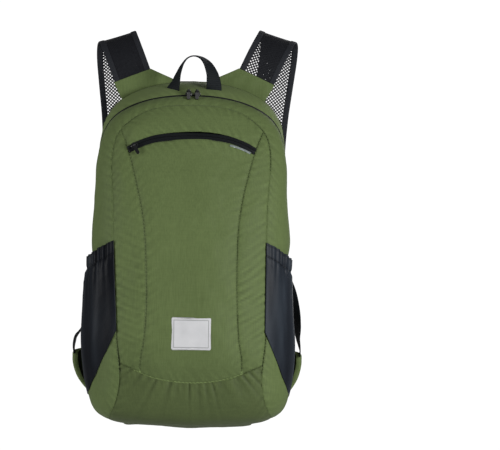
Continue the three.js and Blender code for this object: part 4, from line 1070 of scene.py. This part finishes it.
def net_mesh(stations, half, strands):
    """A net of diamond holes: a slanted grid, its cells inset and opened, then laid on the strap."""
    runs = run_along([at for at, _, _ in stations])
    length = runs[-1]
    cell = MESH_PITCH / math.sqrt(2)
    count = math.ceil((length + 2 * half) / math.sqrt(2) / cell) + 2
    bm = bmesh.new()
    bmesh.ops.create_grid(bm, x_segments=count, y_segments=count, size=count * cell / 2)
    bmesh.ops.rotate(bm, verts=bm.verts, cent=(0, 0, 0), matrix=Matrix.Rotation(math.pi / 4, 3, "Z"))
    bmesh.ops.translate(bm, verts=bm.verts, vec=(0, length / 2, 0))
    beyond = [f for f in bm.faces if not (abs(middle(f).x) <= half and 1 <= middle(f).y <= length - 1)]
    bmesh.ops.delete(bm, geom=beyond, context="FACES")
    cells = list(bm.faces)
    for start, end, inner, outer in strands:
        part = [f for f in cells if start <= middle(f).y / length < end]
        for strand, outside in ((inner, False), (outer, True)):
            half_part = [f for f in part if (middle(f).x >= 0) == outside]
            bmesh.ops.inset_individual(bm, faces=half_part, thickness=strand, use_even_offset=True)
    bmesh.ops.delete(bm, geom=cells, context="FACES")
    bmesh.ops.delete(bm, geom=[v for v in bm.verts if not v.link_faces], context="VERTS")
    for v in bm.verts:
        run = min(max(v.co.y, 0.01), length - 0.01)
        i = min(int(np.searchsorted(runs, run)) - 1, len(stations) - 2)
        share = (run - runs[i]) / (runs[i + 1] - runs[i])
        (a, wide_a, _), (b, wide_b, _) = stations[i], stations[i + 1]
        v.co = a.lerp(b, share) + wide_a.lerp(wide_b, share) * v.co.x
    return bm


net_black, shader, place = material("black net yarn", 0.12, Roughness=0.6)
yarn = place.tint(place.noise(350, 2), (0.006, 0.0065, 0.0085, 1), (0.017, 0.018, 0.022, 1))
plug(shader, "Base Color", yarn)
# Painted highlight: the edge tape is lighter than the other webbing, for the grey highlights along the
# bindings.
edge_tape_painted_highlight = webbing("black edge tape", (0.0135, 0.0145, 0.0175, 1), ribs=3.4)
net_half = STRAP["width"] / 2 - STRAP["binding"] + 3
bind_shift = (STRAP["width"] - STRAP["binding"]) / 2
for name, side in SIDES:
    stations = strap_line(side)
    net = net_mesh(stations, net_half, STRANDS[name])
    thicken(
        make_object(f"{name}_strap_mesh", net, f"{name}_strap_net", net_black), STRAP["net"], 0
    )
    for edge, shift in (("inner", -bind_shift), ("outer", bind_shift)):
        tape = [(at + wide * shift, wide, flat) for at, wide, flat in stations[2:]]
        make_object(
            f"{name}_strap_{edge}_tape", sweep(tape, flat_section(STRAP["binding"], STRAP["rim"], 6)),
            f"{name}_strap_{edge}_binding", edge_tape_painted_highlight,
        )

# Strap roots: green flaps of the bag's own cloth, turned up from the back seam to the foot of each strap.
ROOT = {"thick": 3.2, "foot": 16, "foot_out": 93}


def flap_grid(bm, table, edge, step):
    """A flap of the bag's cloth, its two long sides marked as faint seams."""
    columns = np.arange(table.shape[1])
    off = edge + step * np.minimum(columns, columns[::-1])
    flat = np.zeros(table.shape[:2])
    grid(bm, table, [("seam_off", flat + off), ("seam_run", table[:, :, 2]), ("seam_tone", flat + 0.2)])


for name, side in SIDES:
    stations = strap_line(side)
    foot, wide, _ = stations[0]
    along = (stations[1][0] - stations[0][0]).normalized()
    columns, rows = 60, 24
    table = np.zeros((rows + 1, columns + 1, 3))
    for i in range(rows + 1):
        up = i / rows
        for j in range(columns + 1):
            share = j / columns
            low_x = ROOT["foot"] + (ROOT["foot_out"] - ROOT["foot"]) * share
            seat = hit((low_x, -BACK_SEAM / 2, 600), (0, 0, -1), bag_tree)[0].z - 1.2
            low = Vector((side * low_x, -BACK_SEAM / 2, seat))
            high = foot + wide * (STRAP["width"] / 2 + 0.8) * (2 * share - 1) + along * 3
            spot = low.lerp(high, up)
            swell = 1.2 * math.sin(math.pi * up) * math.sin(math.pi * share)
            crease = 0.35 * math.sin(share * 21 + 3 * up) * math.sin(math.pi * up)
            spot.y -= swell + crease
            table[i, j] = spot
    bm = bmesh.new()
    flap_grid(bm, table, 1, 0.85)
    turn_out(bm, (0, -1, 0))
    piece = make_object(f"{name}_strap_root_cloth", bm, f"{name}_strap_root", olive)
    thicken(piece, ROOT["thick"], 0)

# Sliders and pulls: small die-cast zinc pieces in gloss black, each pull's eye round its slider's bar.
def cad_copy(node):
    """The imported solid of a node, its corners joined, in millimetres on the bag."""
    bm = bmesh.new()
    bm.from_mesh(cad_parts[node].data)
    bmesh.ops.remove_doubles(bm, verts=bm.verts, dist=1e-6)
    bmesh.ops.dissolve_limit(bm, angle_limit=0.02, verts=bm.verts, edges=bm.edges)
    bmesh.ops.scale(bm, verts=bm.verts, vec=(1 / MM, 1 / MM, 1 / MM))
    bmesh.ops.translate(bm, verts=bm.verts, vec=ORIGIN)
    return bm


def soften(piece, width):
    edge = piece.modifiers.new("soft edges", "BEVEL")
    edge.width = width * MM
    edge.segments = 3
    edge.limit_method = "ANGLE"
    edge.angle_limit = math.radians(28)
    edge.harden_normals = True


zinc, shader, place = material("gloss black zinc", Coat_Weight=1.0, Coat_Roughness=0.04)
wear = place.noise(180, 3)
plug(shader, "Base Color", place.tint(wear, (0.002, 0.0023, 0.0028, 1), (0.006, 0.0065, 0.008, 1)))
plug(shader, "Roughness", wear * 0.12 + 0.08)
bump(shader, place.noise(260, 3), 0.15, 0.0004)
for name in ("left", "right", "pocket"):
    slider = cad_copy(f"{name}_slider")
    soften(make_object(f"{name}_slider_body", slider, f"{name}_slider", zinc), 0.35)
    pull, body = cad_copy(f"{name}_pull"), f"{name}_pull_tab"
    soften(make_object(f"{name}_pull_tab_body", pull, f"{name}_pull", zinc, body), 0.3)

# Ladder locks: moulded black plastic frames that join each strap to its adjuster webbing.
BUCKLE = {"thick": 4, "bar": 4, "slot": 4.6, "soft": 0.8}
plastic, shader, place = material("moulded black plastic", Roughness=0.38)
moulded = place.tint(place.noise(90, 2), (0.006, 0.0065, 0.0075, 1), (0.013, 0.014, 0.016, 1))
plug(shader, "Base Color", moulded)
bump(shader, place.noise(900, 2), 0.12, 0.0003)
for name in ("left", "right"):
    lock = cad_copy(f"{name}_buckle")
    lock = make_object(f"{name}_ladder_lock", lock, f"{name}_buckle", plastic)
    soften(lock, BUCKLE["soft"])

# Adjuster webbing: a loose tail in front of the ladder lock, once round its lowest bar, then down in a slack
# bow that twists until it is sewn edge on into the wing.
WEBBING = {"width": 20, "thick": 1.6, "tail": 60, "stand": 4, "drop": 8}
WEBBING_BENDS = {  # share of the way, out, down as a share of the way, turn
    "left": [
        (0.3, -1.5, 0, 30), (0.6, -2.5, 0, 70), (0.84, -0.6, -0.01, 88), (0.93, 1.8, -0.01, 82),
        (1, 0.8, 0, 86),
    ],
    "right": [
        (0.15, 4, 0.01, 12), (0.35, 10, 0.03, 26), (0.55, 9.5, 0.03, 45), (0.75, 6.5, 0.02, 66),
        (0.9, 2.5, 0.01, 82), (1, 0, 0, 90),
    ],
}
WING = {"thick": 1.2, "gap": 5, "rim": 4.5, "foot": 39, "top": 98}
REACH = {"left": 153, "right": 147.5}
SEAM_Y = -BACK_SEAM + 0.3
for name, side in SIDES:
    places, _ = strap_rows(side)
    end = spline(places, 1)
    down = (end - spline(places, 0.95)).normalized()
    wide = Vector((side, 0, 0))
    wide = (wide - down * wide.dot(down)).normalized()  # square to the strap, outwards
    flat = wide.cross(down) * side
    bar = 0.3 + 2.5 * BUCKLE["bar"] + 2 * BUCKLE["slot"]
    turn_radius = math.hypot(BUCKLE["bar"], BUCKLE["thick"]) / 2 + WEBBING["thick"] / 2 + 0.1
    rows = [(bar + WEBBING["tail"] * k, turn_radius + WEBBING["stand"] * k) for k in (1, 0.5)]
    rows += [
        (bar - turn_radius * math.sin(math.pi * k / 6), turn_radius * math.cos(math.pi * k / 6))
        for k in range(7)
    ]
    rows = [(end + down * a + flat * b, 0) for a, b in rows]
    leave = rows[-1][0]
    arrive = Vector((
        side * (REACH[name] - 2 * WING["thick"]), SEAM_Y + WING["gap"] / 2 - WING["thick"],
        WING["top"] - WEBBING["drop"],
    ))
    above = arrive + Vector((0, 0, WEBBING["width"] / 2))
    for share, out, sink, turn in WEBBING_BENDS[name]:
        at = leave.lerp(above, share)
        at.x += side * out
        at.z -= sink * (above - leave).length
        rows.append((at, turn))
    rows.append((arrive, 90))
    lane, guides = [], []
    for k in range(len(rows) - 1):
        steps = max(4, round((rows[k + 1][0] - rows[k][0]).length / 1.5))
        for i in range(steps + (k == len(rows) - 2)):
            share = i / steps
            lane.append(spline([at for at, _ in rows], (k + share) / (len(rows) - 1)))
            turn = math.radians(rows[k][1] + (rows[k + 1][1] - rows[k][1]) * share)
            guides.append(wide * math.cos(turn) + Vector((0, -math.sin(turn), 0)))
    web = sweep(strip_stations(lane, guides), flat_section(WEBBING["width"], WEBBING["thick"]))
    make_object(f"{name}_adjuster_web", web, f"{name}_webbing", black_web)

# Wings: the bag's own cloth, sewn in behind each side pocket and folded over at its outer edge, open in the
# middle where the webbing runs in.
WING_EDGE = [  # up, out, rim: shares of the wing's height, of the way to its reach and of the rim's width
    (1.02, 0.2, 0.6), (0.985, 0.6, 0.9), (0.93, 0.93, 1), (0.87, 1.0, 1), (0.66, 0.985, 1), (0.4, 0.84, 1),
    (0.16, 0.55, 0.9), (0, 0.24, 0.5),
]
# Painted shade: the wing's inner face takes a dark material that stands in for the shade in the hollow
# between the wing and the bag.
painted_shade_reverse, shader, place = material("dark painted shade inside the wing", 0.1, Roughness=0.7)
painted_inner_shade = place.tint(place.noise(200, 2), (0.008, 0.013, 0.004, 1), (0.02, 0.03, 0.009, 1))
plug(shader, "Base Color", painted_inner_shade)
rear_y, front_y = SEAM_Y + WING["gap"], SEAM_Y - 2 * WING["thick"]
middle_y, radius = (rear_y + front_y) / 2, (rear_y - front_y) / 2
for name, side in SIDES:
    edge_line = [spline([(o, u, r) for u, o, r in WING_EDGE], i / 60) for i in range(61)]
    table = []
    for out, up, rim in edge_line:
        up = min(max(up, 0), 1)
        z = WING["foot"] + (WING["top"] - WING["foot"]) * up
        root = bag_point(row_at(z), 2 * math.pi * POCKET["rear"]).x
        root += POCKET["seat"] + POCKET["wall"] + 0.8
        edge = root + (REACH[name] - root) * min(out, 1)
        fold = max(edge - radius * 0.8, root + 1)
        rim_start = max(fold - rim * WING["rim"], root + 2 * WING["thick"])
        rim_start = min(rim_start, fold - 0.5)
        line = [
            (root + (fold - root) * t, SEAM_Y + (rear_y - SEAM_Y) * math.sin(t * math.pi / 2))
            for t in np.linspace(0, 1, 14)
        ]
        line += [
            (fold + (edge - fold) * math.sin(a), middle_y + radius * math.cos(a))
            for a in np.linspace(0.25, math.pi - 0.25, 12)
        ]
        line += [(fold + (rim_start - fold) * t, front_y + 0.8 * t * t) for t in np.linspace(0, 1, 8)]
        table.append([(side * x, y + 0.35 * math.sin(z / 4.1 + 0.2 * x), z) for x, y in line])
    bm = bmesh.new()
    flap_grid(bm, np.array(table), 0.6, 0.9)
    bm.normal_update()
    front_face = max(bm.faces, key=lambda f: abs(middle(f).x))
    if front_face.normal.x * side < 0:
        bmesh.ops.reverse_faces(bm, faces=bm.faces)
    piece = make_object(f"{name}_wing_cloth", bm, f"{name}_wing", olive)
    # The shell's inner faces take the painted shade.
    piece.data.materials.append(painted_shade_reverse)
    thicken(piece, WING["thick"], -1).material_offset = 1

# Plain studio: a pale floor well below the hanging bag, a white surround and four soft lamps.
FLOOR_Z, FLOOR_HALF = -0.95, 1.3
floor_bm = bmesh.new()
bmesh.ops.create_grid(floor_bm, x_segments=1, y_segments=1, size=FLOOR_HALF)
bmesh.ops.translate(floor_bm, verts=floor_bm.verts, vec=(0, 0, FLOOR_Z))
pale, _, _ = material("pale floor", Base_Color=(0.82, 0.82, 0.82, 1), Roughness=0.9)
new_object("floor", floor_bm, pale)

world = bpy.data.worlds.new("white surround")
bpy.context.scene.world = world
world.use_nodes = True
sky = world.node_tree
surround = Signal(sky.nodes.new("ShaderNodeLightPath").outputs["Is Camera Ray"])
surround = surround * 0.92 + 0.13
sky.links.new(surround.socket, sky.nodes["Background"].inputs["Strength"])
sky.nodes["Background"].inputs["Color"].default_value = (1, 1, 1, 1)

LAMP_AIM = Vector((0, -0.1, -0.25))
LAMPS = [  # name, place, size, watts
    ("key", (1.65, -1.75, 0.1), 0.8, 44),
    ("fill", (-2.05, -1.0, 0.05), 1.2, 24),
    ("top", (0.1, -0.35, 1.3), 1.0, 1.5),
    ("rear", (0.3, 1.5, 0.2), 1.2, 5),
]
for name, place, size, watts in LAMPS:
    lamp = bpy.data.lights.new(name, "AREA")
    lamp.size = size
    lamp.energy = watts
    holder = bpy.data.objects.new(name, lamp)
    holder.location = place
    aim = LAMP_AIM - holder.location
    holder.rotation_euler = aim.to_track_quat("-Z", "Y").to_euler()
    bpy.context.scene.collection.objects.link(holder)

# Camera: far off, level with the bag and straight in front of it, with the photo's slight lean.
SCALE = 1.3  # millimetres a pixel
PHOTO = {"width": 500, "height": 450, "middle": 190.8, "base": 427.3}
DISTANCE, LEAN, ELEVATION = 9.0, 0.9, 1.5
SENSOR = 36
eye = bpy.data.cameras.new("camera")
eye.sensor_width = SENSOR
eye.lens = SENSOR * DISTANCE / (SCALE * MM * PHOTO["width"])
camera = bpy.data.objects.new("camera", eye)
bpy.context.scene.collection.objects.link(camera)
target = Vector((
    (PHOTO["width"] / 2 - PHOTO["middle"]) * SCALE, -BAG["depth"] / 2,
    (PHOTO["base"] - PHOTO["height"] / 2) * SCALE,
))
target = (target - ORIGIN) * MM
lift = math.radians(ELEVATION)
back_off = Vector((0, -math.cos(lift), math.sin(lift)))
camera.location = target + back_off * DISTANCE
turn = (-back_off).to_track_quat("-Z", "Y").to_matrix()
camera.rotation_euler = (turn @ Matrix.Rotation(math.radians(LEAN), 3, "Z")).to_euler()
bpy.context.scene.camera = camera
bpy.context.scene.view_settings.view_transform = "Standard"
